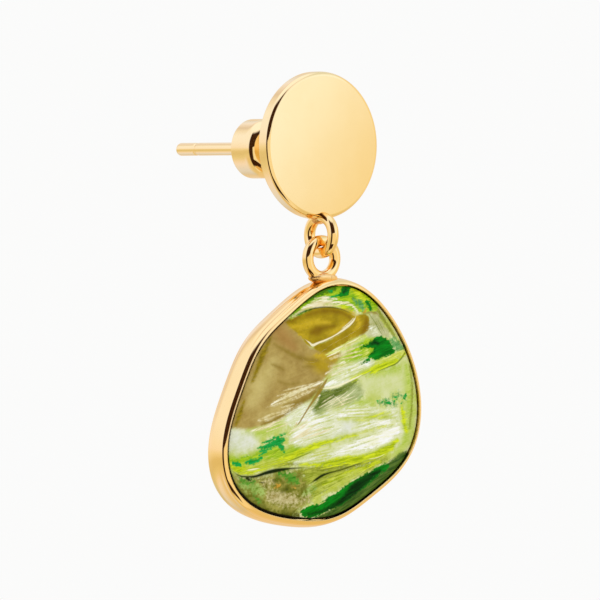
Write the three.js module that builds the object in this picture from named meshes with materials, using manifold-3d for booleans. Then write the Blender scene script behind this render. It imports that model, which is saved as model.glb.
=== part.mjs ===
// A drop earring on a post: a disc stud with its ear nut, and a framed pebble stone hung on two wire loops.
// Millimetres. +Z is up and the disc faces -Y. The origin is on the post's axis, at the disc's back face.

import * as THREE from 'three';
import { mergeVertices } from 'three/addons/utils/BufferGeometryUtils.js';
import Module from 'manifold-3d';

const wasm = await Module();
wasm.setup();

// Disc: its face is slightly crowned, and its centre is a little above the post's axis.
const discRadius = 5.17;
const discThickness = 1.05;
const discCrown = 0.1;
const discCentreZ = 0.2;
const discFrontBevel = 0.34;
const discBackBevel = 0.08;

// Post, with a rounded tip and a narrow groove that the ear nut snaps over.
const postRadius = 0.45;
const postLength = 14.5;
const postTipRound = 0.3;
const grooveY = 12.44;
const grooveWidth = 0.34;
const grooveDepth = 0.1;
const postRoot = 0.3; // how far the post is let into the disc

// Ear nut.
const nutRadius = 2.09;
const nutFrontY = 4.2;
const nutBackY = 6.53;
const nutShoulder = 1.05;
const nutRim = 0.05;
const nutBore = postRadius + 0.05;

// Wire loops: the stud's stands edge-on under the disc, the drop's faces the front.
const wireRadius = 0.4;
const loopRadius = 1.25; // to the wire's centreline
const loopsY = -0.75;
const studLoopZ = -6.07;
const loopPlay = 0.05; // gap between the two wires where the drop hangs
const hangZ = studLoopZ - loopRadius; // centre of the stud loop's wire at its lowest
const dropLoopZ = hangZ + 2 * wireRadius + loopPlay - loopRadius;

// Solder beads at the loops' feet.
const studSolder = { width: 0.9, depth: 1.1, height: 0.7, y: loopsY / 2 - 0.1 };
const dropSolder = { width: 2.5, depth: 1.2, height: 0.8, x: 0.15, lift: 0.3 };

// Pebble frame: a shallow cup with a rolled front edge.
const pebbleX = -0.2;
const pebbleZ = -18.0;
const frameDepth = 1.9;
const frameWidth = 0.48; // from the outer wall to the stone's opening
const frameFrontRoll = 0.44;
const frameBackRoll = 0.35;
const frameRollEnd = 78; // degrees round the roll at which it meets the lip
const frameLip = 0.04;
const wallBulge = 0.1;
const backThickness = 0.4;
const frameMiddleY = loopsY + 0.15; // the loop stands a little forward of the wall's middle
const frameFrontY = frameMiddleY - frameDepth / 2;
const frameBackY = frameMiddleY + frameDepth / 2;

// The pebble's outer edge: its distance from the pebble's centre, with angles counted from +X towards +Z.
const pebbleEdge = [
  { degrees: 0, radius: 9.15 },
  { degrees: 30, radius: 8.95 },
  { degrees: 60, radius: 9.15 },
  { degrees: 90, radius: 8.75 },
  { degrees: 120, radius: 7.65 },
  { degrees: 150, radius: 7.85 },
  { degrees: 180, radius: 8.8 },
  { degrees: 210, radius: 10.6 },
  { degrees: 240, radius: 9.45 },
  { degrees: 270, radius: 8.45 },
  { degrees: 300, radius: 7.95 },
  { degrees: 330, radius: 8.7 },
];

// Stone: a low cabochon with a sloped edge band, seated in the cup with a hairline gap all round.
const stoneGap = 0.08;
const stoneBand = 1.1;
const stoneWallY = frameFrontY + 0.2; // where the sloped band starts
const stoneBandRise = 0.48;
const stoneCrownRise = 0.4;
const stoneSeatY = frameBackY - backThickness - 0.1;
const stoneChamfer = 0.1;

// Shares of the way across a crowned face that have a ring of their own.
const crownShares = [0, 0.15, 0.35, 0.6, 0.85];

// Round pieces.
const discSides = 64;
const postSides = 28;
const nutSides = 48;
const loopSides = 32;
const wireSides = 12;
const pebbleSides = 72;
const beadSides = 20;
const beadRings = 12;
const sharpSteps = 3;
const roundSteps = 5;

const gold = { color: 0xf3c76f, roughness: 0.12, metalness: 1.0 };
const marbledStone = { color: 0x9cab45, roughness: 0.15, metalness: 0.0 };

// A closed surface as a solid that can be joined and cut.
function toSolid(geometry) {
  const bare = geometry.clone();
  bare.deleteAttribute('normal');
  bare.deleteAttribute('uv');
  const merged = mergeVertices(bare, 1e-3);
  const vertProperties = new Float32Array(merged.attributes.position.array);
  const triVerts = new Uint32Array(merged.index.array);
  return new wasm.Manifold(new wasm.Mesh({ numProp: 3, vertProperties, triVerts }));
}

function toGeometry(solid) {
  const { vertProperties, triVerts } = solid.getMesh();
  const geometry = new THREE.BufferGeometry();
  geometry.setAttribute('position', new THREE.BufferAttribute(new Float32Array(vertProperties), 3));
  geometry.setIndex(new THREE.BufferAttribute(new Uint32Array(triVerts), 1));
  return geometry;
}

function join(...geometries) {
  const solids = geometries.map(toSolid);
  return toGeometry(solids.reduce((whole, next) => whole.add(next)));
}

function namedMesh(name, geometry, finish) {
  const mesh = new THREE.Mesh(geometry, new THREE.MeshStandardMaterial(finish));
  mesh.name = name;
  return mesh;
}

// Points of a quarter round in the profile plane, from one angle to another.
function roundCorner(centreX, centreY, radius, fromDegrees, toDegrees, steps) {
  const points = [];
  for (let i = 0; i <= steps; i += 1) {
    const angle = THREE.MathUtils.degToRad(THREE.MathUtils.lerp(fromDegrees, toDegrees, i / steps));
    const x = centreX + radius * Math.cos(angle);
    const y = centreY + radius * Math.sin(angle);
    points.push(new THREE.Vector2(x, y));
  }
  return points;
}

// Turned pieces: profiles of (radius, y) about the post's axis, from -Y to +Y.
function discGeometry() {
  const faceRadius = discRadius - discFrontBevel;
  const bevelY = discCrown + discFrontBevel - discThickness;
  const face = crownShares.map(
    (share) => new THREE.Vector2(faceRadius * share, discCrown * share * share - discThickness),
  );
  const profile = [
    ...face,
    ...roundCorner(faceRadius, bevelY, discFrontBevel, -90, 0, sharpSteps),
    ...roundCorner(discRadius - discBackBevel, -discBackBevel, discBackBevel, 0, 90, sharpSteps),
    new THREE.Vector2(0, 0),
  ];
  return new THREE.LatheGeometry(profile, discSides).translate(0, 0, discCentreZ);
}

function postGeometry() {
  const grooveHalf = grooveWidth / 2;
  const profile = [
    new THREE.Vector2(0, -postRoot),
    new THREE.Vector2(postRadius, -postRoot),
    new THREE.Vector2(postRadius, grooveY - grooveHalf),
    new THREE.Vector2(postRadius - grooveDepth, grooveY),
    new THREE.Vector2(postRadius, grooveY + grooveHalf),
    ...roundCorner(postRadius - postTipRound, postLength - postTipRound, postTipRound, 0, 90, roundSteps),
    new THREE.Vector2(0, postLength),
  ];
  return new THREE.LatheGeometry(profile, postSides);
}

function nutGeometry() {
  const profile = [
    new THREE.Vector2(nutBore, nutFrontY),
    ...roundCorner(nutRadius - nutShoulder, nutFrontY + nutShoulder, nutShoulder, -90, 0, roundSteps),
    ...roundCorner(nutRadius - nutRim, nutBackY - nutRim, nutRim, 0, 90, sharpSteps),
    new THREE.Vector2(nutBore, nutBackY),
    new THREE.Vector2(nutBore, nutFrontY),
  ];
  return new THREE.LatheGeometry(profile, nutSides);
}

function wireLoop() {
  return new THREE.TorusGeometry(loopRadius, wireRadius, wireSides, loopSides);
}

function solderBead({ width, depth, height }) {
  return new THREE.SphereGeometry(0.5, beadSides, beadRings).scale(width, depth, height);
}

function studGeometry() {
  const loop = wireLoop().rotateY(Math.PI / 2).translate(0, loopsY, studLoopZ);
  const solder = solderBead(studSolder).translate(0, studSolder.y, discCentreZ - discRadius);
  return join(discGeometry(), postGeometry(), loop, solder);
}

// Radius of the smooth pebble edge at an angle. A row's share is 1 at its own angle and 0 at the others'.
function pebbleRadius(angle) {
  const count = pebbleEdge.length;
  let radius = 0;
  for (const row of pebbleEdge) {
    const away = angle - THREE.MathUtils.degToRad(row.degrees);
    const slope = Math.tan(away / 2);
    const share = Math.abs(slope) < 1e-9 ? 1 : Math.sin((count * away) / 2) / (count * slope);
    radius += row.radius * share;
  }
  return radius;
}

function pebblePoint(angle) {
  const radius = pebbleRadius(angle);
  return new THREE.Vector2(pebbleX + radius * Math.cos(angle), pebbleZ + radius * Math.sin(angle));
}

// The pebble's edge moved in by an inset, square to the edge, then shrunk towards its centre by a share.
function pebbleRing({ inset, shrink = 0 }) {
  const centre = new THREE.Vector2(pebbleX, pebbleZ);
  const points = [];
  const probe = 1e-4;
  for (let i = 0; i < pebbleSides; i += 1) {
    const angle = (2 * Math.PI * i) / pebbleSides;
    const along = pebblePoint(angle + probe).sub(pebblePoint(angle - probe)).normalize();
    const inward = new THREE.Vector2(-along.y, along.x);
    points.push(pebblePoint(angle).addScaledVector(inward, inset).lerp(centre, shrink));
  }
  return points;
}

// A solid of pebble rings, one for each profile row of { inset, shrink, y }, closed flat at the centre.
// The rows run from the back, over the outside, to the front, and into the cup where there is one.
function pebbleSolid(profile) {
  const positions = [];
  const index = [];
  for (const row of profile) {
    for (const point of pebbleRing(row)) positions.push(point.x, row.y, point.y);
  }
  for (let ring = 0; ring + 1 < profile.length; ring += 1) {
    for (let i = 0; i < pebbleSides; i += 1) {
      const next = (i + 1) % pebbleSides;
      const a = ring * pebbleSides + i;
      const b = ring * pebbleSides + next;
      const c = a + pebbleSides;
      const d = b + pebbleSides;
      index.push(a, b, c, b, d, c);
    }
  }
  const lastRing = (profile.length - 1) * pebbleSides;
  const backCentre = positions.length / 3;
  positions.push(pebbleX, profile[0].y, pebbleZ);
  positions.push(pebbleX, profile[profile.length - 1].y, pebbleZ);
  for (let i = 0; i < pebbleSides; i += 1) {
    const next = (i + 1) % pebbleSides;
    index.push(backCentre, next, i);
    index.push(backCentre + 1, lastRing + i, lastRing + next);
  }
  const geometry = new THREE.BufferGeometry();
  geometry.setAttribute('position', new THREE.Float32BufferAttribute(positions, 3));
  geometry.setIndex(index);
  return geometry;
}

// Rows of a rounded edge; angles run from the back (90) over the outside (0) to the front (-90).
function edgeRows(insetToCentre, centreY, radius, fromDegrees, toDegrees, steps) {
  const points = roundCorner(-insetToCentre, centreY, radius, fromDegrees, toDegrees, steps);
  return points.map((point) => ({ inset: -point.x, y: point.y }));
}

function frameGeometry() {
  const wallBack = frameBackY - frameBackRoll;
  const wallFront = frameFrontY + frameFrontRoll;
  const wall = [0.25, 0.5, 0.75].map((share) => ({
    inset: wallBulge * (1 - 4 * share * (1 - share)),
    y: THREE.MathUtils.lerp(wallBack, wallFront, share),
  }));
  const profile = [
    ...edgeRows(frameBackRoll + wallBulge, wallBack, frameBackRoll, 90, 0, roundSteps),
    ...wall,
    ...edgeRows(frameFrontRoll + wallBulge, wallFront, frameFrontRoll, 0, -frameRollEnd, roundSteps),
    { inset: frameWidth, y: frameFrontY + frameLip },
    { inset: frameWidth, y: frameBackY - backThickness },
  ];
  return pebbleSolid(profile);
}

function bezelGeometry() {
  const loopFootZ = dropLoopZ - loopRadius - wireRadius;
  const loop = wireLoop().rotateX(Math.PI / 2).translate(0, loopsY, dropLoopZ);
  const solder = solderBead(dropSolder).translate(dropSolder.x, loopsY, loopFootZ + dropSolder.lift);
  return join(frameGeometry(), loop, solder);
}

function stoneGeometry() {
  const girdle = frameWidth + stoneGap;
  const bandTopY = stoneWallY - stoneBandRise;
  const crown = crownShares.map((share) => ({
    inset: girdle + stoneBand,
    shrink: share,
    y: bandTopY - stoneCrownRise * Math.sin((share * Math.PI) / 2),
  }));
  const profile = [
    { inset: girdle + stoneChamfer, y: stoneSeatY },
    { inset: girdle, y: stoneSeatY - stoneChamfer },
    { inset: girdle, y: stoneWallY },
    { inset: girdle + stoneBand / 2, y: stoneWallY - stoneBandRise * Math.SQRT1_2 },
    ...crown,
  ];
  return pebbleSolid(profile);
}

const earring = new THREE.Group();
earring.add(namedMesh('stud', studGeometry(), gold));
earring.add(namedMesh('ear_nut', nutGeometry(), gold));

const drop = new THREE.Group();
drop.add(namedMesh('bezel', bezelGeometry(), gold));
drop.add(namedMesh('stone', stoneGeometry(), marbledStone));
earring.add(drop);

export default earring;
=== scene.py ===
import math
import bpy
import numpy as np
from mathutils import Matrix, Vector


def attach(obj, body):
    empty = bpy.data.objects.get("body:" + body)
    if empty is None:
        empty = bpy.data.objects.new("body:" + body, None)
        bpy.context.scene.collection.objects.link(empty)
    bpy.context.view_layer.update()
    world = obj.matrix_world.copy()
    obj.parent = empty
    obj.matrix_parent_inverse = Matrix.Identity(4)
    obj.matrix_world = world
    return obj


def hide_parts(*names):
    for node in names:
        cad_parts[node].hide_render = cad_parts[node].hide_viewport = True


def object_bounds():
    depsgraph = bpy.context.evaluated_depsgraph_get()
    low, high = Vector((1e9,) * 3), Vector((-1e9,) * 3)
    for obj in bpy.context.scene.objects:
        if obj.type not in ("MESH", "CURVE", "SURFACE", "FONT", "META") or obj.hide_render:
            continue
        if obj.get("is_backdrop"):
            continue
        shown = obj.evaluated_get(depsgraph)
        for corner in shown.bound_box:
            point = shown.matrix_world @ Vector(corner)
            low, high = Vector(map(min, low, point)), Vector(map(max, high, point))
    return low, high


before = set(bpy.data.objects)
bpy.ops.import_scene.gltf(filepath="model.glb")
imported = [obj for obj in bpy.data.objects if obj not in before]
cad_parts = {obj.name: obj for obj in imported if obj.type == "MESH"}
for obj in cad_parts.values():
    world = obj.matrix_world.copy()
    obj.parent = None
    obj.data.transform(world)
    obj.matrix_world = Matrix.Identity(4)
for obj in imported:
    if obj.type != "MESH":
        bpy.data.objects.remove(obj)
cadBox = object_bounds()
scene = bpy.context.scene
mm = 0.001
print("frame loaded")


# camera: level with the drop, a little over 40 degrees round to the post's side
cameraSet = {"azimuth": -41.0, "distance": 1.5, "frameHeight": 0.042, "sensor": 36.0,
             "aimRight": -1.0, "aimZ": -10.62, "clip": (0.01, 20.0)}


def makeCamera(spec):
    turn = math.radians(spec["azimuth"])
    away = np.array([math.sin(turn), -math.cos(turn), 0.0])
    right = np.array([math.cos(turn), math.sin(turn), 0.0])
    lookAt = (spec["aimRight"] * right + np.array([0.0, 0.0, spec["aimZ"]])) * mm
    data = bpy.data.cameras.new("camera")
    data.sensor_width = spec["sensor"]
    data.lens = spec["sensor"] * spec["distance"] / spec["frameHeight"]
    data.clip_start, data.clip_end = spec["clip"]
    camera = bpy.data.objects.new("camera", data)
    camera.location = lookAt + away * spec["distance"]
    camera.rotation_euler = (math.pi / 2, 0.0, turn)
    scene.collection.objects.link(camera)
    scene.camera = camera


makeCamera(cameraSet)
scene.view_settings.view_transform = "Standard"
print("camera placed")


def linear(code):
    # a colour written as hex, as linear light: ((c + 0.055) / 1.055) ** 2.4, or c / 12.92 near black
    parts = [int(code[i:i + 2], 16) / 255.0 for i in (1, 3, 5)]
    return tuple(((c + 0.055) / 1.055) ** 2.4 if c > 0.04045 else c / 12.92 for c in parts) + (1.0,)


class Value:
    # one number in a shader; sums and products of values add their Math nodes
    def __init__(self, shader, socket):
        self.shader = shader
        self.socket = socket

    def maths(self, operation, first, second):
        return self.shader.add("ShaderNodeMath", {"operation": operation}, {0: first, 1: second})

    def __add__(self, other):
        return self.maths("ADD", self, other)

    def __radd__(self, other):
        return self.maths("ADD", other, self)

    def __sub__(self, other):
        return self.maths("SUBTRACT", self, other)

    def __rsub__(self, other):
        return self.maths("SUBTRACT", other, self)

    def __mul__(self, other):
        return self.maths("MULTIPLY", self, other)

    def __rmul__(self, other):
        return self.maths("MULTIPLY", other, self)

    def __truediv__(self, other):
        return self.maths("DIVIDE", self, other)

    def __rtruediv__(self, other):
        return self.maths("DIVIDE", other, self)

    def __pow__(self, other):
        return self.maths("POWER", self, other)

    def __rpow__(self, other):
        return self.maths("POWER", other, self)

    def __abs__(self):
        return self.shader.add("ShaderNodeMath", {"operation": "ABSOLUTE"}, {0: self})


class Shader:
    # a node tree with one way to add a node: its type, its settings, then its sockets' values or links
    def __init__(self, tree):
        self.tree = tree
        tree.nodes.clear()

    def add(self, kind, settings=None, values=None, out=0):
        node = self.tree.nodes.new(kind)
        for key, setting in (settings or {}).items():
            if key == "stops":
                self.setStops(node.color_ramp, setting)
            else:
                setattr(node, key, setting)
        for key, given in (values or {}).items():
            if isinstance(given, Value):
                self.tree.links.new(given.socket, node.inputs[key])
            else:
                node.inputs[key].default_value = given
        return Value(self, node.outputs[out]) if len(node.outputs) else node

    def setStops(self, ramp, stops):
        while len(ramp.elements) < len(stops):
            ramp.elements.new(0.5)
        for element, (place, colour) in zip(ramp.elements, stops):
            element.position = place
            element.color = colour

    def step(self, value, low, high, start=0.0, end=1.0):
        settings = {"interpolation_type": "SMOOTHSTEP"}
        return self.add("ShaderNodeMapRange", settings, {0: value, 1: low, 2: high, 3: start, 4: end})

    def mix(self, factor, first, second, blend="MIX"):
        settings = {"data_type": "RGBA", "blend_type": blend}
        return self.add("ShaderNodeMix", settings, {0: factor, 6: first, 7: second}, out=2)

    def field(self, name):
        return self.add("ShaderNodeAttribute", {"attribute_name": name}, out="Fac")

    def noise(self, vector, scale, detail, rough, distortion=0.0):
        values = {"Vector": vector, "Scale": scale, "Detail": detail}
        values.update({"Roughness": rough, "Distortion": distortion})
        return self.add("ShaderNodeTexNoise", {}, values, out="Fac")

    def scaled(self, vector, amounts):
        return self.add("ShaderNodeVectorMath", {"operation": "MULTIPLY"}, {0: vector, 1: amounts})

    def surface(self, values):
        finish = self.add("ShaderNodeBsdfPrincipled", {}, values)
        self.add("ShaderNodeOutputMaterial", {}, {"Surface": finish})


def newMaterial(name):
    # a material with an empty tree, and the shader that fills it
    material = bpy.data.materials.new(name)
    material.use_nodes = True
    return material, Shader(material.node_tree)


# studio: soft white light all round, and a painted room that only polished faces mirror; pairs are where a
# part fades in, by height (z from -1 to 1), by depth (y) or by the cosine of the turn away from its azimuth
studio = {
    "backdrop": (0.965, 0.965, 0.96, 1.0), "softLight": (1.02, 1.02, 1.02, 1.0),
    "aboveFrom": (0.1, 0.4), "belowFrom": (-0.1, -0.4),
    "lamp": (1.1, 1.25, 1.85, 1.0), "lampFrom": (0.78, 0.92),
    "table": (0.82, 0.73, 0.5, 1.0), "tableFrom": (-0.2, -0.6), "tableDepth": (0.65, 0.2),
    "side": (0.86, 0.76, 0.62, 1.0), "sideAzimuth": 122.0, "sideSpread": (0.76, 0.93),
    "sideTop": (0.6, 0.3),
    "panelBright": (1.04, 1.24, 1.75, 1.0), "panelWarm": (0.95, 0.90, 0.75, 1.0),
    "panelAzimuth": 56.0, "panelSpread": (0.55, 0.80), "panelTop": (0.75, 0.45), "panelFoot": (-0.5, -0.2),
    "warmAzimuth": 131.0, "warmSlant": 0.9, "warmFrom": (-0.16, 0.16),
    "front": (0.98, 0.94, 0.84, 1.0), "frontAzimuth": -25.0, "frontSpread": (0.55, 0.75),
    "frontTop": (0.18, 0.06),
    "dark": (0.045, 0.018, 0.008, 1.0), "gapLeft": -81.0, "gapRight": -1.0, "gapRightLow": -51.0,
    "gapSoft": 3.5, "gapTop": (0.90, 0.76), "gapFoot": (-0.95, -0.85),
    "wideAbove": (0.07, 0.19), "wideBelow": (-0.58, -0.68),
}
# the room behind, from straight down (z = -1) to straight up
roomRise = [
    {"z": -1.0, "colour": (0.85, 0.80, 0.75)}, {"z": -0.66, "colour": (0.90, 0.95, 1.33)},
    {"z": -0.58, "colour": (0.94, 0.95, 1.28)}, {"z": -0.50, "colour": (0.92, 0.89, 1.01)},
    {"z": -0.43, "colour": (0.87, 0.83, 0.74)}, {"z": -0.35, "colour": (0.82, 0.79, 0.61)},
    {"z": -0.24, "colour": (0.77, 0.72, 0.53)}, {"z": -0.12, "colour": (0.79, 0.74, 0.55)},
    {"z": -0.02, "colour": (0.91, 0.90, 0.86)}, {"z": 0.07, "colour": (0.99, 1.02, 1.33)},
    {"z": 0.16, "colour": (0.99, 1.06, 1.42)}, {"z": 0.30, "colour": (1.0, 1.11, 1.60)},
    {"z": 0.47, "colour": (1.0, 1.13, 1.65)}, {"z": 1.0, "colour": (1.0, 1.13, 1.65)},
]
# how its upper and lower halves dim from left (x = -1) to right
roomAbove = [
    {"x": -0.40, "colour": (1.0, 1.0, 1.0)}, {"x": -0.20, "colour": (0.93, 0.87, 0.75)},
    {"x": -0.03, "colour": (0.78, 0.69, 0.60)}, {"x": 0.10, "colour": (0.88, 0.80, 0.72)},
    {"x": 0.27, "colour": (0.95, 0.91, 0.87)}, {"x": 0.50, "colour": (0.80, 0.82, 0.71)},
]
roomBelow = [
    {"x": -0.30, "colour": (1.0, 1.0, 1.0)}, {"x": 0.05, "colour": (0.88, 0.94, 0.98)},
    {"x": 0.30, "colour": (0.80, 0.80, 0.66)},
]


def roomRamp(shader, value, rows, key):
    # a table over -1 to 1 as a colour ramp, halved and doubled again so that no stop is over 1
    stops = [((row[key] + 1) / 2, tuple(part / 2 for part in row["colour"]) + (1.0,)) for row in rows]
    half = shader.add("ShaderNodeValToRGB", {"stops": stops}, {"Fac": value * 0.5 + 0.5})
    return shader.scaled(half, (2.0, 2.0, 2.0))


def makeWorld(spec):
    world = bpy.data.worlds.new("studio")
    scene.world = world
    world.use_nodes = True
    shader = Shader(world.node_tree)
    ray = shader.add("ShaderNodeTexCoord", out="Generated")
    parts = shader.add("ShaderNodeSeparateXYZ", {}, {0: ray})
    node = parts.socket.node
    x, y, z = [Value(shader, node.outputs[i]) for i in range(3)]
    level = (x * x + y * y + 1e-6) ** 0.5

    def towards(azimuth):
        turn = math.radians(azimuth)
        return (x * math.sin(turn) - y * math.cos(turn)) / level

    def fade(value, *keys):
        # the product of a step for each of one or two keys
        steps = [shader.step(value, *spec[key]) for key in keys]
        return steps[0] if len(steps) == 1 else steps[0] * steps[1]

    colour = roomRamp(shader, z, roomRise, "z")
    above, below = roomRamp(shader, x, roomAbove, "x"), roomRamp(shader, x, roomBelow, "x")
    colour = shader.mix(fade(z, "aboveFrom"), colour, above, "MULTIPLY")
    colour = shader.mix(fade(z, "belowFrom"), colour, below, "MULTIPLY")
    colour = shader.mix(fade(z, "lampFrom"), colour, spec["lamp"])
    colour = shader.mix(fade(z, "tableFrom") * fade(y, "tableDepth"), colour, spec["table"])
    onSide = fade(towards(spec["sideAzimuth"]), "sideSpread") * fade(z, "sideTop")
    colour = shader.mix(onSide, colour, spec["side"])
    # the panel on the right: cool and bright towards its upper front corner, warmer the other way
    across = towards(spec["warmAzimuth"]) * spec["warmSlant"] - z
    panel = shader.mix(fade(across, "warmFrom"), spec["panelBright"], spec["panelWarm"])
    onPanel = fade(towards(spec["panelAzimuth"]), "panelSpread") * fade(z, "panelTop", "panelFoot")
    colour = shader.mix(onPanel, colour, panel)
    # the front is pale a little below eye level, and the dark gap is narrow there
    onFront = fade(towards(spec["frontAzimuth"]), "frontSpread") * fade(z, "frontTop")
    colour = shader.mix(onFront, colour, spec["front"])
    soft = math.sin(math.radians(spec["gapSoft"]))
    wide = fade(z, "wideAbove") + fade(z, "wideBelow")
    inside = towards(spec["gapRight"] - 90.0) * wide + towards(spec["gapRightLow"] - 90.0) * (1 - wide)
    gap = shader.step(inside, -soft, soft) * shader.step(towards(spec["gapLeft"] + 90.0), -soft, soft)
    colour = shader.mix(gap * fade(z, "gapTop", "gapFoot"), colour, spec["dark"])
    mirrored = shader.add("ShaderNodeLightPath", out="Is Glossy Ray")
    colour = shader.mix(mirrored, spec["softLight"], colour)
    seen = shader.add("ShaderNodeLightPath", out="Is Camera Ray")
    colour = shader.mix(seen, colour, spec["backdrop"])
    background = shader.add("ShaderNodeBackground", {}, {"Color": colour, "Strength": 1.0})
    shader.add("ShaderNodeOutputWorld", {}, {"Surface": background})


def finishMesh(name, points, faces, material):
    # faces are rows of vertex numbers, with -1 in the last column for a triangle; turned outwards by volume
    points = np.asarray(points, float)
    corners = np.where(faces[:, 3:] < 0, 3, 4)[:, 0]
    first, second, third = (points[faces[:, i]] for i in range(3))
    volume = np.einsum("ij,ij->", first, np.cross(second, third))
    quads = faces[corners == 4]
    a, b, c = (points[quads[:, i]] for i in (0, 2, 3))
    volume += np.einsum("ij,ij->", a, np.cross(b, c))
    if volume < 0:
        turned = faces.copy()
        isQuad = corners == 4
        turned[isQuad] = faces[isQuad][:, ::-1]
        turned[~isQuad, :3] = faces[~isQuad][:, [2, 1, 0]]
        faces = turned
    mesh = bpy.data.meshes.new(name)
    mesh.vertices.add(len(points))
    mesh.vertices.foreach_set("co", (points * mm).astype(np.float32).ravel())
    loops = faces[faces >= 0].astype(np.int32)
    mesh.loops.add(len(loops))
    mesh.loops.foreach_set("vertex_index", loops)
    mesh.polygons.add(len(faces))
    starts = np.concatenate([[0], np.cumsum(corners)[:-1]]).astype(np.int32)
    mesh.polygons.foreach_set("loop_start", starts)
    mesh.polygons.foreach_set("use_smooth", np.ones(len(faces), bool))
    mesh.update(calc_edges=True)
    mesh.validate()
    piece = bpy.data.objects.new(name, mesh)
    scene.collection.objects.link(piece)
    mesh.materials.append(material)
    return piece


def wrapFaces(rows, columns, closedRows):
    # quads of a grid whose columns run round; a tube's rows run round too, and other grids end in fans
    r = np.arange(rows if closedRows else rows - 1)[:, None]
    c = np.arange(columns)[None, :]
    here, right = r * columns + c, r * columns + (c + 1) % columns
    below = ((r + 1) % rows) * columns
    faces = np.stack([here, right, below + (c + 1) % columns, below + c], -1).reshape(-1, 4)
    if closedRows:
        return faces
    ring = np.arange(columns)
    last = (rows - 1) * columns
    start, end = rows * columns, rows * columns + 1
    none = np.full(columns, -1)
    first = np.stack([np.full(columns, start), (ring + 1) % columns, ring, none], -1)
    final = np.stack([np.full(columns, end), last + ring, last + (ring + 1) % columns, none], -1)
    return np.concatenate([faces, first, final])


def gridPiece(name, grid, material, closedRows=False):
    # a grid of rings as a piece; open rows are closed at both ends by a fan from the end ring's middle
    rows, columns, _ = grid.shape
    points = grid.reshape(-1, 3)
    if not closedRows:
        points = np.concatenate([points, [grid[0].mean(0)], [grid[-1].mean(0)]])
    return finishMesh(name, points, wrapFaces(rows, columns, closedRows), material)


def arc(centreA, centreB, radius, fromDegrees, toDegrees, steps):
    # points of a round: centre + radius * (cos, sin) of evenly spaced angles
    angle = np.radians(np.linspace(fromDegrees, toDegrees, steps + 1))
    return np.stack([centreA + radius * np.cos(angle), centreB + radius * np.sin(angle)], -1)


def turnedGrid(profile, sides, centreZ=0.0):
    # a profile of (radius, y) turned about the Y axis: x = r cos a, z = centreZ + r sin a
    angle = np.linspace(0.0, 2 * np.pi, sides, endpoint=False)
    radius, y = profile[:, :1], profile[:, 1:]
    x = radius * np.cos(angle)
    z = centreZ + radius * np.sin(angle)
    return np.stack([x, np.broadcast_to(y, x.shape), z], -1)


# gold: polished plating, clouded a little; the burnt blotches are for solder
def makeGold(name, look):
    # cloud and blotch mix the colours, grain roughens them, and wave and grain raise the surface a little;
    # each of these noises has scale, detail and roughness
    material, shader = newMaterial(name)
    spot = shader.add("ShaderNodeTexCoord", out="Object")
    cloud = shader.noise(spot, *look["cloud"])
    colour = shader.mix(shader.step(cloud, *look["cloudFrom"]), look["colour"], look["deeper"])
    blotch = shader.noise(spot, *look["blotch"])
    burnt = shader.step(blotch, *look["blotchFrom"]) * look["blotches"]
    colour = shader.mix(burnt, colour, look["burnt"])
    grain = shader.noise(spot, *look["grain"])
    rough = look["roughness"] + (grain - 0.5) * look["roughSpread"] + burnt * look["burntRough"]
    wave = shader.noise(spot, *look["wave"])
    height = wave * look["waveHeight"] + grain * look["grainHeight"]
    normal = shader.add("ShaderNodeBump", {}, {"Strength": 1.0, "Distance": 1.0, "Height": height})
    shader.surface({"Base Color": colour, "Metallic": 1.0, "Roughness": rough, "Normal": normal})
    return material


goldLook = {
    "colour": (1.0, 0.715, 0.31, 1.0), "deeper": (0.99, 0.70, 0.295, 1.0),
    "cloud": (320.0, 3.0, 0.6), "cloudFrom": (0.35, 0.65),
    "burnt": (0.5, 0.2, 0.05, 1.0), "blotches": 0.0, "blotch": (900.0, 3.0, 0.6), "blotchFrom": (0.52, 0.64),
    "roughness": 0.06, "roughSpread": 0.04, "burntRough": 0.15,
    "grain": (9000.0, 4.0, 0.65), "grainHeight": 0.0000002,
    "wave": (450.0, 1.0, 0.4), "waveHeight": 0.000003,
}
deepGoldLook = dict(goldLook, colour=(1.0, 0.675, 0.255, 1.0), deeper=(0.99, 0.66, 0.24, 1.0))
solderLook = dict(goldLook, colour=(1.0, 0.66, 0.26, 1.0), deeper=(0.98, 0.56, 0.17, 1.0),
                  blotch=(1500.0, 3.0, 0.6), blotches=0.6, roughness=0.32,
                  wave=(1500.0, 1.0, 0.4), waveHeight=0.00001)
gold = makeGold("polishedGold", goldLook)
deepGold = makeGold("deepGold", deepGoldLook)
solder = makeGold("solder", solderLook)


def place(piece, *nodes, body, slot="gold"):
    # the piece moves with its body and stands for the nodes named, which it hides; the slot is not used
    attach(piece, body)
    if nodes:
        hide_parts(*nodes)


# disc, post, loop and solder: the stud
discShape = {"radius": 5.17, "thickness": 1.05, "centreZ": 0.2, "frontBevel": 0.34, "backBevel": 0.08,
             "dome": 0.1, "hub": 0.06, "sides": 192, "faceRings": 40, "frontSteps": 24, "backSteps": 6,
             "sideRings": 6, "backRings": 30}
postShape = {"radius": 0.45, "length": 14.5, "tipRound": 0.3, "root": 0.3, "rootBevel": 0.02,
             "hub": 0.05, "tipHub": 0.03, "grooveY": 12.44, "grooveWidth": 0.34, "grooveDepth": 0.04,
             "sides": 48, "shaftRings": 40, "grooveRings": 17, "endRings": 8, "tipSteps": 10}
loopShape = {"wire": 0.4, "radius": 1.25, "y": -0.75, "studZ": -6.07, "play": 0.05,
             "around": 112, "section": 32}
studBead = {"centre": (0.0, -0.45, discShape["centreZ"] - discShape["radius"] - 0.02),
            "size": (0.95, 1.05, 0.66), "lumps": 0.06, "pole": 0.03, "rings": 40, "sides": 64}
hangZ = loopShape["studZ"] - loopShape["radius"]
dropLoopZ = hangZ + 2 * loopShape["wire"] + loopShape["play"] - loopShape["radius"]


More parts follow.
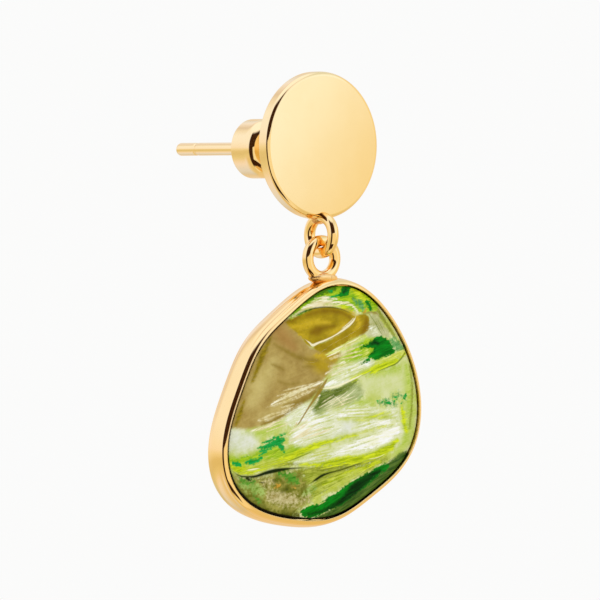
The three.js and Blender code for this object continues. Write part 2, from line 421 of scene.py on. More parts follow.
def discGrid(spec):
    # y = -thickness + dome * (r / face radius) ** 2 over the face, then the bevel, rim and back
    bevel, backBevel, hub = spec["frontBevel"], spec["backBevel"], spec["hub"]
    faceRadius = spec["radius"] - bevel
    r = np.linspace(hub, faceRadius, spec["faceRings"])
    face = np.stack([r, -spec["thickness"] + spec["dome"] * (r / faceRadius) ** 2], -1)
    frontY = -spec["thickness"] + spec["dome"] + bevel
    front = arc(faceRadius, frontY, bevel, -90, 0, spec["frontSteps"])[1:]
    back = arc(spec["radius"] - backBevel, -backBevel, backBevel, 0, 90, spec["backSteps"])
    side = np.linspace(front[-1], back[0], spec["sideRings"])[1:-1]
    flatR = np.linspace(back[-1, 0], hub, spec["backRings"])[1:]
    flat = np.stack([flatR, np.zeros_like(flatR)], -1)
    return turnedGrid(np.concatenate([face, front, side, back, flat]), spec["sides"], spec["centreZ"])


def postGrid(spec):
    # a rod with a round tip; in the groove r(y) = radius - depth * (1 + cos(pi (y - grooveY) / half)) / 2
    radius, tip, groove = spec["radius"], spec["tipRound"], spec["grooveY"]
    half = spec["grooveWidth"] / 2
    shaftY = np.linspace(-spec["root"], groove - half, spec["shaftRings"])
    dipY = np.linspace(groove - half, groove + half, spec["grooveRings"])
    dip = spec["grooveDepth"] * 0.5 * (1 + np.cos(np.pi * (dipY - groove) / half))
    endY = np.linspace(groove + half, spec["length"] - tip, spec["endRings"])
    start = np.array([[spec["hub"], -spec["root"]], [radius - spec["rootBevel"], -spec["root"]]])
    shaft = np.stack([np.full_like(shaftY, radius), shaftY], -1)
    narrow = np.stack([radius - dip, dipY], -1)[1:-1]
    end = np.stack([np.full_like(endY, radius), endY], -1)
    tipRound = arc(radius - tip, spec["length"] - tip, tip, 0, 90, spec["tipSteps"])[1:]
    cap = np.array([[spec["tipHub"], spec["length"]]])
    return turnedGrid(np.concatenate([start, shaft, narrow, end, tipRound, cap]), spec["sides"])


def loopGrid(spec, centreZ, edgeOn):
    # a torus: (R + r cos v) round the loop and r sin v across it, standing in the YZ or the XZ plane
    u = np.linspace(0, 2 * np.pi, spec["around"], endpoint=False)[:, None]
    v = np.linspace(0, 2 * np.pi, spec["section"], endpoint=False)[None, :]
    out = spec["radius"] + spec["wire"] * np.cos(v)
    flat = out * np.sin(u)
    high = centreZ + out * np.cos(u)
    across = spec["wire"] * np.sin(v) + 0 * u
    if edgeOn:
        return np.stack([across, spec["y"] + flat, high], -1)
    return np.stack([flat, spec["y"] + across, high], -1)


def beadGrid(spec):
    # an ellipsoid whose radius swells by a few slow waves, as melted metal does:
    # 1 + lumps * (sin(3u + 1.1) sin 2v + 0.6 sin(5u - 0.7) sin^2 v), u round it and v from pole to pole
    v = np.linspace(spec["pole"], np.pi - spec["pole"], spec["rings"])[:, None]
    u = np.linspace(0, 2 * np.pi, spec["sides"], endpoint=False)[None, :]
    waves = np.sin(3 * u + 1.1) * np.sin(2 * v) + 0.6 * np.sin(5 * u - 0.7) * np.sin(v) ** 2
    swell = 1 + spec["lumps"] * waves
    wide, deep, high = spec["size"]
    x = np.sin(v) * np.cos(u) * swell * wide / 2
    y = np.sin(v) * np.sin(u) * swell * deep / 2
    z = np.cos(v) * swell * high / 2 + 0 * u
    return np.stack([x, y, z], -1) + np.array(spec["centre"])


def makeStud():
    place(gridPiece("studDisc", discGrid(discShape), gold), "stud", body="stud")
    place(gridPiece("studPost", postGrid(postShape), gold), body="stud")
    ring = loopGrid(loopShape, loopShape["studZ"], True)
    place(gridPiece("studLoop", ring, deepGold, closedRows=True), body="stud")
    place(gridPiece("studSolder", beadGrid(studBead), solder), body="stud")


# ear nut
nutShape = {"radius": 2.09, "frontY": 4.2, "backY": 6.53, "shoulder": 1.05, "rim": 0.05, "bore": 0.5,
            "boreBevel": 0.06, "sides": 128, "faceRings": 14, "shoulderSteps": 30, "rimSteps": 5,
            "wallRings": 14, "backRings": 16, "mouthSteps": 4, "boreRings": 10}


def nutGrid(spec):
    # front face, rounded shoulder, wall, sharp rear rim, back face and bore, as one closed profile
    r, front, back = spec["radius"], spec["frontY"], spec["backY"]
    shoulder, rim, bore, bevel = spec["shoulder"], spec["rim"], spec["bore"], spec["boreBevel"]
    faceR = np.linspace(bore + bevel, r - shoulder, spec["faceRings"])
    face = np.stack([faceR, np.full_like(faceR, front)], -1)
    frontRound = arc(r - shoulder, front + shoulder, shoulder, -90, 0, spec["shoulderSteps"])[1:]
    backRound = arc(r - rim, back - rim, rim, 0, 90, spec["rimSteps"])
    wall = np.linspace(frontRound[-1], backRound[0], spec["wallRings"])[1:-1]
    backR = np.linspace(r - rim, bore + bevel, spec["backRings"])[1:]
    backFace = np.stack([backR, np.full_like(backR, back)], -1)
    mouthBack = arc(bore + bevel, back - bevel, bevel, 90, 180, spec["mouthSteps"])[1:]
    mouthFront = arc(bore + bevel, front + bevel, bevel, 180, 270, spec["mouthSteps"])[:-1]
    inside = np.linspace(mouthBack[-1], mouthFront[0], spec["boreRings"])[1:-1]
    profile = [face, frontRound, wall, backRound, backFace, mouthBack, inside, mouthFront]
    return turnedGrid(np.concatenate(profile), spec["sides"])


def makeNut():
    place(gridPiece("earNut", nutGrid(nutShape), gold, closedRows=True), "ear_nut", body="nut")


# the pebble outline: distance from the pebble's centre, angles counted from +X towards +Z
pebble = {"x": -0.2, "z": -18.0, "sides": 384, "nudge": 1e-4, "drawnTo": 0.97}
pebbleEdge = [
    {"degrees": 0, "radius": 9.15}, {"degrees": 30, "radius": 8.95}, {"degrees": 60, "radius": 9.15},
    {"degrees": 90, "radius": 8.75}, {"degrees": 120, "radius": 7.65}, {"degrees": 150, "radius": 7.85},
    {"degrees": 180, "radius": 8.8}, {"degrees": 210, "radius": 10.6}, {"degrees": 240, "radius": 9.45},
    {"degrees": 270, "radius": 8.45}, {"degrees": 300, "radius": 7.95}, {"degrees": 330, "radius": 8.7},
]


def pebbleRadius(angle):
    # r(a) = sum of row radius * sin(n d / 2) / (n tan(d / 2)), d = a - row angle: it runs through every row
    count = len(pebbleEdge)
    total = np.zeros_like(angle)
    for row in pebbleEdge:
        away = angle - math.radians(row["degrees"])
        slope = np.tan(away / 2)
        near = np.abs(slope) < 1e-7
        share = np.sin(count * away / 2) / (count * np.where(near, 1.0, slope))
        total += row["radius"] * np.where(near, 1.0, share)
    return total


def pebblePoint(angle):
    # x = centre x + r(a) cos a, z = centre z + r(a) sin a
    radius = pebbleRadius(angle)
    return np.stack([pebble["x"] + radius * np.cos(angle), pebble["z"] + radius * np.sin(angle)], -1)


def insetRing(inset, sides):
    # the outline p(a) moved in, square to itself: p + inset * n, n its unit slope turned by 90 degrees
    nudge = pebble["nudge"]
    angle = np.linspace(0, 2 * np.pi, sides, endpoint=False) + nudge
    along = pebblePoint(angle + nudge) - pebblePoint(angle - nudge)
    along /= np.linalg.norm(along, axis=-1, keepdims=True)
    inward = np.stack([-along[:, 1], along[:, 0]], -1)
    return pebblePoint(angle) + inward * inset


def pebbleGrid(profile, sides):
    # profile rows of (inset, y), each an inset ring at that depth
    rings = []
    for inset, y in profile:
        ring = insetRing(inset, sides)
        rings.append(np.stack([ring[:, 0], np.full(sides, y), ring[:, 1]], -1))
    return np.array(rings)


def drawnIn(ring, steps):
    # the ring shrunk towards the pebble's centre by even shares, each at the ring's own depth
    share = np.linspace(0, pebble["drawnTo"], steps + 1)[1:, None, None]
    return ring + (np.array([pebble["x"], 0.0, pebble["z"]]) - ring) * share * np.array([1.0, 0.0, 1.0])


# frame: a shallow cup with a rolled front edge, its loop and their solder
frameShape = {"depth": 1.9, "width": 0.48, "frontRoll": 0.44, "rollEnd": 78, "backRoll": 0.35, "lip": 0.03,
              "bulge": 0.1, "back": 0.4, "flatFrom": 2.0, "middleY": loopShape["y"] + 0.15,
              "lipTurn": (-80, -180), "cupCorner": 0.02,
              "backRings": 10, "cornerSteps": 10, "wallRings": 13, "rollSteps": 18, "lipSteps": 5,
              "cupRings": 10, "floorRings": 8, "flatRings": 16}
frameFrontY = frameShape["middleY"] - frameShape["depth"] / 2
frameBackY = frameShape["middleY"] + frameShape["depth"] / 2
dropFootZ = dropLoopZ - loopShape["radius"] - loopShape["wire"]
dropBead = dict(studBead, centre=(0.15, loopShape["y"], dropFootZ + 0.3), size=(2.5, 1.2, 0.8), lumps=0.05)


def frameProfile(spec):
    # from the back's middle out over the wall, round the roll, over the lip and down into the cup; the wall
    # bows out by bulge * 4 t (1 - t); insets count inwards, so the rounds' first column changes sign
    bulge, backRoll, frontRoll, lip = spec["bulge"], spec["backRoll"], spec["frontRoll"], spec["lip"]
    wallBack, wallFront, cupY = frameBackY - backRoll, frameFrontY + frontRoll, frameBackY - spec["back"]
    backX = np.linspace(spec["flatFrom"], backRoll + bulge, spec["backRings"])
    back = np.stack([backX, np.full_like(backX, frameBackY)], -1)
    corner = arc(-backRoll - bulge, wallBack, backRoll, 90, 0, spec["cornerSteps"])[1:]
    share = np.linspace(0, 1, spec["wallRings"])[1:-1]
    wall = np.stack([bulge * (1 - 4 * share * (1 - share)), wallBack + (wallFront - wallBack) * share], -1)
    roll = arc(-frontRoll - bulge, wallFront, frontRoll, 0, -spec["rollEnd"], spec["rollSteps"])
    lipArc = arc(-spec["width"] + lip, roll[-1, 1] + lip, lip, *spec["lipTurn"], spec["lipSteps"])
    for rounded in (corner, roll, lipArc):
        rounded[:, 0] *= -1
    cup = np.linspace(lipArc[-1], (spec["width"], cupY), spec["cupRings"])[1:]
    floorX = np.linspace(spec["width"] + spec["cupCorner"], spec["flatFrom"], spec["floorRings"])
    floor = np.stack([floorX, np.full_like(floorX, cupY)], -1)
    return np.concatenate([back, corner, wall, roll, lipArc, cup, floor])


def makeBezel():
    rings = pebbleGrid(frameProfile(frameShape), pebble["sides"])
    outside, inside = (drawnIn(rings[i], frameShape["flatRings"]) for i in (0, -1))
    shell = np.concatenate([outside[::-1], rings, inside])
    place(gridPiece("bezelFrame", shell, deepGold), "bezel", body="drop")
    ring = loopGrid(loopShape, dropLoopZ, False)
    place(gridPiece("dropLoop", ring, deepGold, closedRows=True), body="drop")
    place(gridPiece("dropSolder", beadGrid(dropBead), solder), body="drop")


# stone: a low cabochon with a sloped edge band and soft folds; the painted shade along its edge, the dark
# rim where it meets the bezel, is wider to the left and below
stoneShape = {"gap": 0.08, "band": 1.1, "bandRise": 0.48, "bandCurve": 1.35, "crownRise": 0.34,
              "crownTo": 0.985, "chamfer": 0.1, "seatInset": 1.0, "foldReach": 1.3, "foldDrop": 0.16,
              "foldEnds": 0.6, "foldFade": 0.7, "slant": 0.87, "slantFrom": 1.9, "rim": 0.05,
              "rimShadeLeft": 0.06, "leftOver": 8.0, "rimShadeRight": 0.07, "rightOver": 5.0,
              "rimShadeDown": 0.07, "downFrom": -20.0, "downOver": 5.0, "edgeBehind": 0.2, "seatGap": 0.1,
              "sides": 560, "bandRings": 24, "crownRings": 116, "wallRings": 6, "seatRings": 10}
stoneWallY = frameFrontY + stoneShape["edgeBehind"]
stoneSeatY = frameBackY - frameShape["back"] - stoneShape["seatGap"]

# inks in the resin, laid one over another in this order; all in millimetres: strokes have rows of x, z and
# half width, specks x, z and radius, patches are outlines of x, z, and fans are hairs spread between two
# lines of x, z, x, z; soft = edge softness, ragged and brushed = how uneven the edge is
inks = [
    {"ink": "haze", "dark": "#CCD780", "light": "#DFE3AE", "soft": 0.5, "ragged": 0.3, "brushed": 0.2,
     "patches": [
         [(2.6, -16.4), (4.0, -15.9), (6.0, -15.4), (6.9, -15.0), (7.1, -16.5), (6.9, -17.2),
          (5.0, -17.3), (3.4, -17.2)]]},
    {"ink": "milk", "dark": "#D2D9AC", "light": "#ECEEE2", "soft": 0.5, "ragged": 0.3, "brushed": 0.1,
     "patches": [
         [(-10.0, -19.9), (-9.0, -19.6), (-8.2, -19.8), (-7.4, -20.0), (-6.9, -20.5), (-7.2, -21.0),
          (-8.0, -21.2), (-9.0, -21.2), (-9.7, -21.0)],
         [(0.0, -19.1), (2.2, -19.1), (2.0, -19.9), (0.6, -20.2), (-0.8, -20.3), (-0.6, -19.5)]]},
    {"ink": "pistachio", "dark": "#ACC63C", "light": "#C8D66C", "soft": 0.35, "ragged": 0.4,
     "brushed": 0.5,
     "strokes": [
         [(-6.9, -19.9, 0.3), (-5.6, -19.6, 0.4), (-4.7, -19.3, 0.25)],
         [(3.4, -15.95, 0.1), (4.6, -15.7, 0.2), (6.2, -15.4, 0.3)],
         [(0.2, -17.95, 0.15), (2.0, -17.8, 0.22), (3.8, -17.85, 0.15)],
         [(6.9, -15.2, 0.2), (7.2, -16.5, 0.4), (7.25, -18.0, 0.5), (7.1, -19.5, 0.5), (6.8, -20.6, 0.4),
          (6.1, -21.3, 0.25)]]},
    {"ink": "khaki", "dark": "#A08440", "light": "#BFA75E", "soft": 0.2, "ragged": 0.15, "brushed": 0.28,
     "patches": [
         [(-4.2, -12.0), (-3.0, -12.9), (-2.3, -13.7), (-1.6, -14.0), (-0.5, -14.0), (0.5, -14.1),
          (0.9, -14.5), (0.4, -14.9), (-0.2, -15.5), (-0.7, -16.1), (-1.1, -16.7), (-2.6, -17.8),
          (-4.0, -18.6), (-5.4, -19.1), (-6.6, -19.4), (-8.0, -19.6), (-9.4, -19.5), (-10.8, -19.0),
          (-10.6, -15.5), (-8.0, -13.0), (-5.6, -11.2)]]},
    {"ink": "tan", "dark": "#A27C3C", "light": "#B48E4C", "soft": 0.6, "ragged": 0.3, "brushed": 0.2,
     "strokes": [
         [(-5.6, -12.4, 0.3), (-4.6, -13.1, 0.6), (-3.6, -13.9, 0.4)]]},
    {"ink": "paleKhaki", "dark": "#C2AE64", "light": "#CFBD76", "soft": 0.7, "ragged": 0.2, "brushed": 0.1,
     "strokes": [
         [(-7.4, -17.6, 0.5), (-6.6, -16.4, 0.8), (-5.4, -14.9, 0.3)],
         [(-6.6, -18.9, 0.15), (-5.0, -18.2, 0.2), (-4.0, -17.6, 0.15)]]},
    {"ink": "ochre", "dark": "#A68A12", "light": "#BCA024", "soft": 0.5, "ragged": 0.2, "brushed": 0.2,
     "strokes": [
         [(-2.2, -14.9, 0.2), (-1.2, -15.1, 0.6), (-0.6, -15.3, 0.5)],
         [(-0.9, -14.4, 0.2), (0.2, -14.9, 0.2)]]},
    {"ink": "khakiShade", "dark": "#8A7224", "light": "#9C8436", "soft": 0.2, "ragged": 0.2,
     "brushed": 0.2,
     "strokes": [
         [(-5.4, -13.7, 0.03), (-4.6, -14.05, 0.1), (-3.5, -14.5, 0.16), (-2.5, -14.75, 0.14),
          (-1.3, -14.85, 0.06)],
         [(-5.6, -15.1, 0.02), (-5.1, -15.25, 0.08), (-4.5, -15.5, 0.02)],
         [(-2.7, -15.3, 0.02), (-2.2, -15.25, 0.06), (-1.6, -15.3, 0.02)],
         [(-5.0, -16.3, 0.02), (-4.0, -16.5, 0.06), (-3.0, -16.4, 0.02)],
         [(-1.9, -16.4, 0.03), (-1.5, -16.25, 0.09), (-1.2, -16.1, 0.03)],
         [(-4.4, -18.0, 0.06), (-3.2, -17.8, 0.18), (-2.3, -17.5, 0.2), (-1.6, -17.1, 0.16),
          (-1.1, -16.7, 0.1)],
         [(-6.5, -19.3, 0.05), (-5.8, -19.1, 0.15), (-5.0, -18.85, 0.13), (-4.2, -18.5, 0.1),
          (-3.3, -18.1, 0.05)]]},
    {"ink": "edgeOlive", "dark": "#7E6C0E", "light": "#A28A1E", "soft": 0.16, "ragged": 0.2,
     "brushed": 0.3,
     "strokes": [
         [(-5.7, -13.3, 0.1), (-6.4, -14.4, 0.24), (-6.8, -15.2, 0.22), (-7.4, -16.3, 0.1)],
         [(-8.1, -17.6, 0.05), (-8.5, -18.5, 0.2), (-8.9, -19.3, 0.1)]]},
    {"ink": "leaf", "dark": "#8AB410", "light": "#BCD63A", "soft": 0.3, "ragged": 0.3, "brushed": 0.4,
     "patches": [
         [(0.9, -14.8), (1.3, -14.3), (1.9, -13.9), (2.6, -13.5), (3.4, -13.2), (4.4, -13.05),
          (5.2, -13.3), (5.5, -14.2), (4.2, -15.0), (3.0, -15.0), (2.0, -15.0)],
         [(-9.9, -21.5), (-8.6, -21.5), (-7.4, -21.3), (-6.6, -20.9), (-5.6, -20.6), (-4.4, -20.9),
          (-3.4, -20.8), (-2.4, -20.9), (-1.6, -20.7), (-2.8, -21.2), (-4.0, -21.7), (-5.4, -22.0),
          (-6.6, -22.2), (-8.0, -22.3), (-9.6, -22.0)]]},
    {"ink": "honey", "dark": "#967E08", "light": "#B89E18", "soft": 0.08, "ragged": 0.1, "brushed": 0.1,
     "patches": [
         [(-4.3, -12.15), (-3.5, -11.85), (-2.6, -11.5), (-1.8, -11.2), (-0.8, -11.1), (0.3, -11.15),
          (1.3, -11.4), (2.25, -11.8), (2.2, -12.2), (1.6, -12.6), (0.9, -12.98), (0.0, -13.33),
          (-0.9, -13.63), (-1.8, -13.88), (-2.4, -13.65), (-3.0, -13.1), (-3.6, -12.7)],
         [(2.2, -11.75), (2.9, -11.6), (3.4, -11.8), (3.55, -12.4), (3.3, -12.8), (2.4, -13.2),
          (1.2, -13.7), (0.2, -14.1), (-0.5, -14.3), (-1.4, -14.15), (-1.7, -13.85), (-0.6, -13.55),
          (0.4, -13.15), (1.4, -12.65), (2.1, -12.2)]]},
    {"ink": "gilt", "dark": "#BC9E14", "light": "#D4B62C", "soft": 0.22, "ragged": 0.2, "brushed": 0.2,
     "strokes": [
         [(-3.9, -12.45, 0.1), (-3.0, -12.5, 0.26), (-2.2, -12.3, 0.26), (-1.2, -12.15, 0.16),
          (-0.2, -12.25, 0.08)],
         [(-3.0, -12.95, 0.08), (-2.3, -13.3, 0.12)],
         [(-0.5, -13.0, 0.06), (0.5, -12.7, 0.12), (1.4, -12.2, 0.08)],
         [(0.8, -11.15, 0.08), (1.7, -11.45, 0.12), (2.3, -11.8, 0.12), (2.5, -12.3, 0.12),
          (2.0, -12.7, 0.05)],
         [(-1.5, -14.5, 0.1), (-0.4, -14.6, 0.2), (0.4, -14.7, 0.1)]]},
    {"ink": "umber", "dark": "#7E5E02", "light": "#8E7006", "soft": 0.25, "ragged": 0.15, "brushed": 0.2,
     "strokes": [
         [(-1.9, -12.9, 0.18), (-1.4, -12.8, 0.32), (-0.9, -12.6, 0.18), (0.2, -12.45, 0.05)],
         [(-2.4, -11.7, 0.05), (-1.0, -11.42, 0.12), (0.6, -11.45, 0.1), (1.6, -11.8, 0.04)],
         [(2.8, -13.0, 0.1), (3.1, -12.5, 0.28), (3.2, -12.0, 0.16)],
         [(-4.2, -12.1, 0.1), (-3.6, -11.95, 0.1), (-3.0, -11.8, 0.03)],
         [(3.0, -11.55, 0.03), (3.5, -11.45, 0.1), (4.1, -11.55, 0.1), (4.6, -11.9, 0.03)]]},
    {"ink": "wedge", "dark": "#A4A65A", "light": "#D6D6A8", "soft": 0.12, "ragged": 0.25, "brushed": 0.25,
     "patches": [
         [(3.5, -11.7), (4.1, -11.7), (4.7, -12.2), (5.3, -12.9), (5.2, -13.3), (4.6, -13.15),
          (3.9, -13.2), (3.2, -13.1), (3.45, -12.6)]]},
    {"ink": "olive", "dark": "#7C841C", "light": "#A0A83A", "soft": 0.12, "ragged": 0.2, "brushed": 0.3,
     "strokes": [
         [(3.9, -11.0, 0.15), (4.6, -11.75, 0.16), (5.4, -12.7, 0.14), (5.9, -13.3, 0.08)],
         [(7.25, -15.3, 0.06), (7.45, -16.6, 0.08), (7.4, -18.2, 0.08), (7.2, -19.6, 0.06)],
         [(-0.5, -22.35, 0.1), (1.0, -22.15, 0.16), (2.2, -22.05, 0.16), (3.4, -21.95, 0.12),
          (4.6, -21.6, 0.1)],
         [(-5.4, -22.2, 0.05), (-4.6, -22.1, 0.12), (-3.6, -22.05, 0.1), (-2.8, -22.1, 0.04)],
         [(-3.4, -22.7, 0.16), (-2.2, -22.65, 0.3), (-0.9, -22.45, 0.26), (0.6, -22.3, 0.14),
          (2.0, -22.1, 0.08)],
         [(-2.6, -23.3, 0.12), (-1.6, -23.05, 0.28), (-0.4, -22.75, 0.26), (1.0, -22.45, 0.18),
          (2.6, -22.1, 0.1)]]},
    {"ink": "sedge", "dark": "#7E8E10", "light": "#BCC44C", "soft": 0.25, "ragged": 0.6, "brushed": 0.9,
     "strokes": [
         [(-3.6, -23.6, 0.3), (-2.4, -23.2, 0.5), (-1.2, -22.9, 0.4), (0.4, -22.6, 0.3)],
         [(-3.0, -24.9, 0.3), (-1.8, -24.0, 0.6), (-0.2, -23.4, 0.6), (1.6, -22.8, 0.5),
          (3.4, -22.3, 0.35), (5.0, -21.7, 0.2)]]},
    {"ink": "meadow", "dark": "#74AE04", "light": "#C0D824", "soft": 0.1, "ragged": 0.25, "brushed": 0.5,
     "patches": [
         [(-4.0, -11.85), (-3.6, -11.1), (-2.5, -10.4), (-1.5, -9.8), (-0.4, -9.2), (1.6, -9.1),
          (3.2, -9.8), (4.3, -10.9), (4.0, -11.3), (3.4, -11.4), (2.8, -11.5), (2.0, -11.35),
          (1.0, -11.1), (0.0, -10.95), (-1.2, -10.95), (-2.4, -11.25), (-3.3, -11.65)]],
     "strokes": [
         [(1.7, -14.25, 0.06), (2.4, -13.9, 0.12), (3.1, -13.6, 0.12)],
         [(-9.7, -21.7, 0.08), (-9.0, -21.9, 0.12), (-8.3, -21.75, 0.18), (-7.8, -21.6, 0.15),
          (-7.0, -21.7, 0.12), (-6.5, -21.4, 0.1)],
         [(1.9, -17.55, 0.1), (2.3, -17.45, 0.16), (2.8, -17.4, 0.06)]]},
    {"ink": "moss", "dark": "#2E5C00", "light": "#5E980A", "soft": 0.1, "ragged": 0.3, "brushed": 0.6,
     "strokes": [
         [(-4.0, -11.75, 0.05), (-3.0, -11.0, 0.12), (-2.0, -10.42, 0.15), (-1.0, -9.95, 0.16),
          (0.0, -9.65, 0.14), (1.2, -9.5, 0.06)],
         [(-3.6, -11.2, 0.06), (-2.6, -10.75, 0.16), (-1.6, -10.3, 0.2), (-0.6, -9.95, 0.24),
          (0.3, -9.75, 0.18)],
         [(-3.3, -11.65, 0.04), (-2.6, -11.38, 0.09), (-1.9, -11.18, 0.08), (-1.0, -11.08, 0.04)],
         [(1.9, -10.55, 0.08), (2.05, -10.5, 0.12)],
         [(2.1, -17.5, 0.05), (2.4, -17.42, 0.1), (2.7, -17.4, 0.04)]]},
    {"ink": "teal", "dark": "#3E8E40", "light": "#7EB468", "soft": 0.2, "ragged": 0.7, "brushed": 0.4,
     "strokes": [
         [(2.1, -10.7, 0.12), (2.6, -10.9, 0.24), (2.9, -11.2, 0.16)],
         [(5.5, -17.4, 0.04), (6.0, -17.25, 0.1), (6.4, -17.35, 0.05)],
         [(4.4, -17.8, 0.08), (5.1, -17.8, 0.2), (5.9, -17.95, 0.1)]],
     "patches": [
         [(5.2, -13.4), (5.9, -13.3), (6.6, -13.8), (6.8, -14.1), (6.2, -14.25), (5.8, -14.1),
          (5.5, -13.8)]]},
    {"ink": "shadow", "dark": "#9AA862", "light": "#C0CA90", "soft": 0.3, "ragged": 0.4, "brushed": 0.6,
     "patches": [
         [(-2.4, -18.6), (-1.3, -17.2), (0.5, -16.9), (2.3, -16.4), (2.9, -17.2), (1.6, -17.9),
          (0.0, -18.2), (-1.2, -18.8)]]},
    # painted shade: a dark wedge under the fold
    {"ink": "smoke", "dark": "#506416", "light": "#80903E", "soft": 0.14, "ragged": 0.3, "brushed": 0.6,
     "patches": [
         [(-1.0, -16.95), (0.0, -16.85), (0.9, -16.65), (1.8, -16.3), (2.4, -16.05), (2.1, -16.5),
          (1.5, -16.9), (0.9, -17.3), (0.3, -17.5), (-0.5, -17.9), (-1.2, -18.3), (-1.9, -18.4),
          (-1.4, -17.8), (-1.2, -17.3)]]},
    {"ink": "depth", "dark": "#2A5010", "light": "#5E7C2C", "soft": 0.1, "ragged": 0.2, "brushed": 0.5,
     "patches": [
         [(-2.4, -26.2), (0.2, -25.2), (1.8, -24.2), (3.0, -23.4), (4.2, -22.8), (5.0, -22.1),
          (5.8, -21.7), (6.5, -21.3), (7.6, -21.4), (5.8, -23.6), (3.8, -25.2), (1.8, -26.2)]]},
    {"ink": "pearl", "dark": "#DCE1A8", "light": "#FFFFFA", "hair": "#BCC83C", "soft": 0.3, "ragged": 0.4,
     "brushed": 0.6,
     "patches": [
         [(-4.2, -18.7), (-3.2, -18.2), (-2.3, -17.9), (-1.6, -18.6), (-0.6, -18.9), (0.6, -19.1),
          (0.9, -19.5), (0.2, -20.0), (-1.2, -20.4), (-2.6, -20.8), (-3.9, -20.5), (-3.7, -19.9),
          (-3.3, -19.4), (-4.1, -19.3)],
         [(-3.4, -22.0), (-2.4, -21.6), (-1.4, -21.3), (-0.2, -21.2), (1.0, -20.7), (2.4, -20.3),
          (3.4, -20.0), (3.8, -19.8), (2.6, -19.9), (1.8, -19.5), (2.6, -19.2), (3.8, -19.0),
          (5.2, -18.95), (6.2, -19.4), (6.6, -20.0), (6.0, -20.3), (5.0, -20.8), (3.6, -21.1),
          (2.2, -21.5), (0.5, -21.7), (-1.2, -21.9)],
         [(-1.0, -18.9), (-0.2, -18.5), (0.8, -18.3), (2.0, -18.15), (3.4, -18.1), (4.2, -18.4),
          (3.2, -18.7), (2.0, -18.85), (0.8, -18.9), (0.0, -19.0)],
         [(-0.9, -16.75), (-0.3, -16.3), (0.1, -15.9), (0.6, -15.5), (1.6, -15.1), (2.4, -14.95),
          (3.4, -14.8), (4.1, -14.95), (3.2, -15.3), (2.4, -15.7), (1.4, -16.2), (0.6, -16.5),
          (-0.2, -16.72)]],
     "strokes": [
         [(5.2, -18.4, 0.1), (5.8, -18.6, 0.25), (6.2, -18.8, 0.1)],
         [(3.6, -12.6, 0.08), (4.1, -12.85, 0.16), (4.3, -13.05, 0.05)]]},
    # painted highlights: pure white streaks of sheen over the pearl and pale zones
    {"ink": "white", "dark": "#F6F6D4", "light": "#FFFFFF", "soft": 0.14, "ragged": 0.3, "brushed": 0.9,
     "strokes": [
         [(1.0, -21.2, 0.1), (2.4, -20.85, 0.28), (3.6, -20.5, 0.4), (4.8, -20.2, 0.42),
          (6.0, -19.7, 0.25)],
         [(-3.4, -20.2, 0.15), (-2.6, -19.6, 0.32), (-1.7, -19.15, 0.28), (-0.6, -19.15, 0.1)],
         [(-0.6, -16.6, 0.06), (0.4, -16.25, 0.14), (1.4, -15.7, 0.2), (2.4, -15.3, 0.14),
          (3.3, -15.0, 0.06)],
         [(0.8, -18.6, 0.08), (1.8, -18.45, 0.16), (2.9, -18.4, 0.1)],
         [(3.2, -19.4, 0.05), (4.3, -19.2, 0.12), (5.4, -19.25, 0.1)]]},
    {"ink": "citron", "dark": "#BECA2E", "light": "#E6EA84", "soft": 0.12, "ragged": 0.25, "brushed": 0.5,
     "strokes": [
         [(4.0, -15.05, 0.06), (5.0, -14.8, 0.16), (6.0, -14.5, 0.24), (6.6, -14.3, 0.16)],
         [(-0.5, -14.5, 0.05), (0.3, -14.2, 0.14), (1.3, -13.8, 0.16), (2.3, -13.4, 0.14),
          (3.1, -13.05, 0.06)],
         [(-8.8, -22.25, 0.06), (-7.6, -22.35, 0.12), (-6.4, -22.15, 0.08)],
         [(0.6, -18.98, 0.03), (2.0, -19.0, 0.06), (3.4, -19.05, 0.05)],
         [(1.2, -20.1, 0.03), (2.4, -19.95, 0.06), (3.6, -19.75, 0.05), (4.8, -19.5, 0.05),
          (5.8, -19.3, 0.03)],
         [(-1.8, -24.6, 0.06), (-0.8, -24.15, 0.12), (0.4, -23.6, 0.14), (1.6, -23.1, 0.1),
          (3.0, -22.6, 0.05)],
         [(2.9, -14.5, 0.08), (3.3, -14.3, 0.12)]]},
    {"ink": "lime", "dark": "#9AB002", "light": "#DEEA28", "soft": 0.14, "ragged": 0.2, "brushed": 0.5,
     "strokes": [
         [(1.8, -16.2, 0.04), (2.4, -15.97, 0.12), (3.2, -15.72, 0.2), (4.0, -15.46, 0.27),
          (4.8, -15.22, 0.27), (5.6, -14.98, 0.2), (6.3, -14.7, 0.12), (6.8, -14.35, 0.05)],
         [(-9.7, -21.9, 0.12), (-9.0, -22.3, 0.28), (-8.2, -22.5, 0.34), (-7.4, -22.45, 0.34),
          (-6.6, -22.25, 0.3), (-5.6, -22.05, 0.22), (-4.8, -21.85, 0.2), (-3.8, -21.58, 0.24),
          (-2.8, -21.25, 0.26), (-2.0, -20.97, 0.25), (-1.0, -20.68, 0.19), (0.2, -20.42, 0.14),
          (1.2, -20.2, 0.1), (2.4, -20.08, 0.05)],
         [(-3.0, -22.1, 0.05), (-2.0, -22.12, 0.13), (-1.0, -22.1, 0.2), (0.0, -22.0, 0.27),
          (1.0, -21.86, 0.3), (2.0, -21.8, 0.3), (3.0, -21.68, 0.28), (4.0, -21.46, 0.3),
          (4.8, -21.18, 0.34), (5.5, -20.9, 0.3), (6.1, -20.4, 0.1)],
         [(3.0, -18.87, 0.04), (4.0, -18.77, 0.07), (4.8, -18.62, 0.06), (5.4, -18.45, 0.03)],
         [(4.3, -18.95, 0.04), (4.7, -18.86, 0.1), (5.1, -18.8, 0.04)],
         [(6.5, -18.2, 0.08), (6.6, -18.6, 0.18), (6.7, -19.2, 0.14), (6.9, -19.8, 0.14)],
         [(-0.8, -23.5, 0.1), (0.2, -23.2, 0.15), (1.2, -22.88, 0.17), (2.2, -22.58, 0.16),
          (3.2, -22.3, 0.14), (4.4, -21.95, 0.1)],
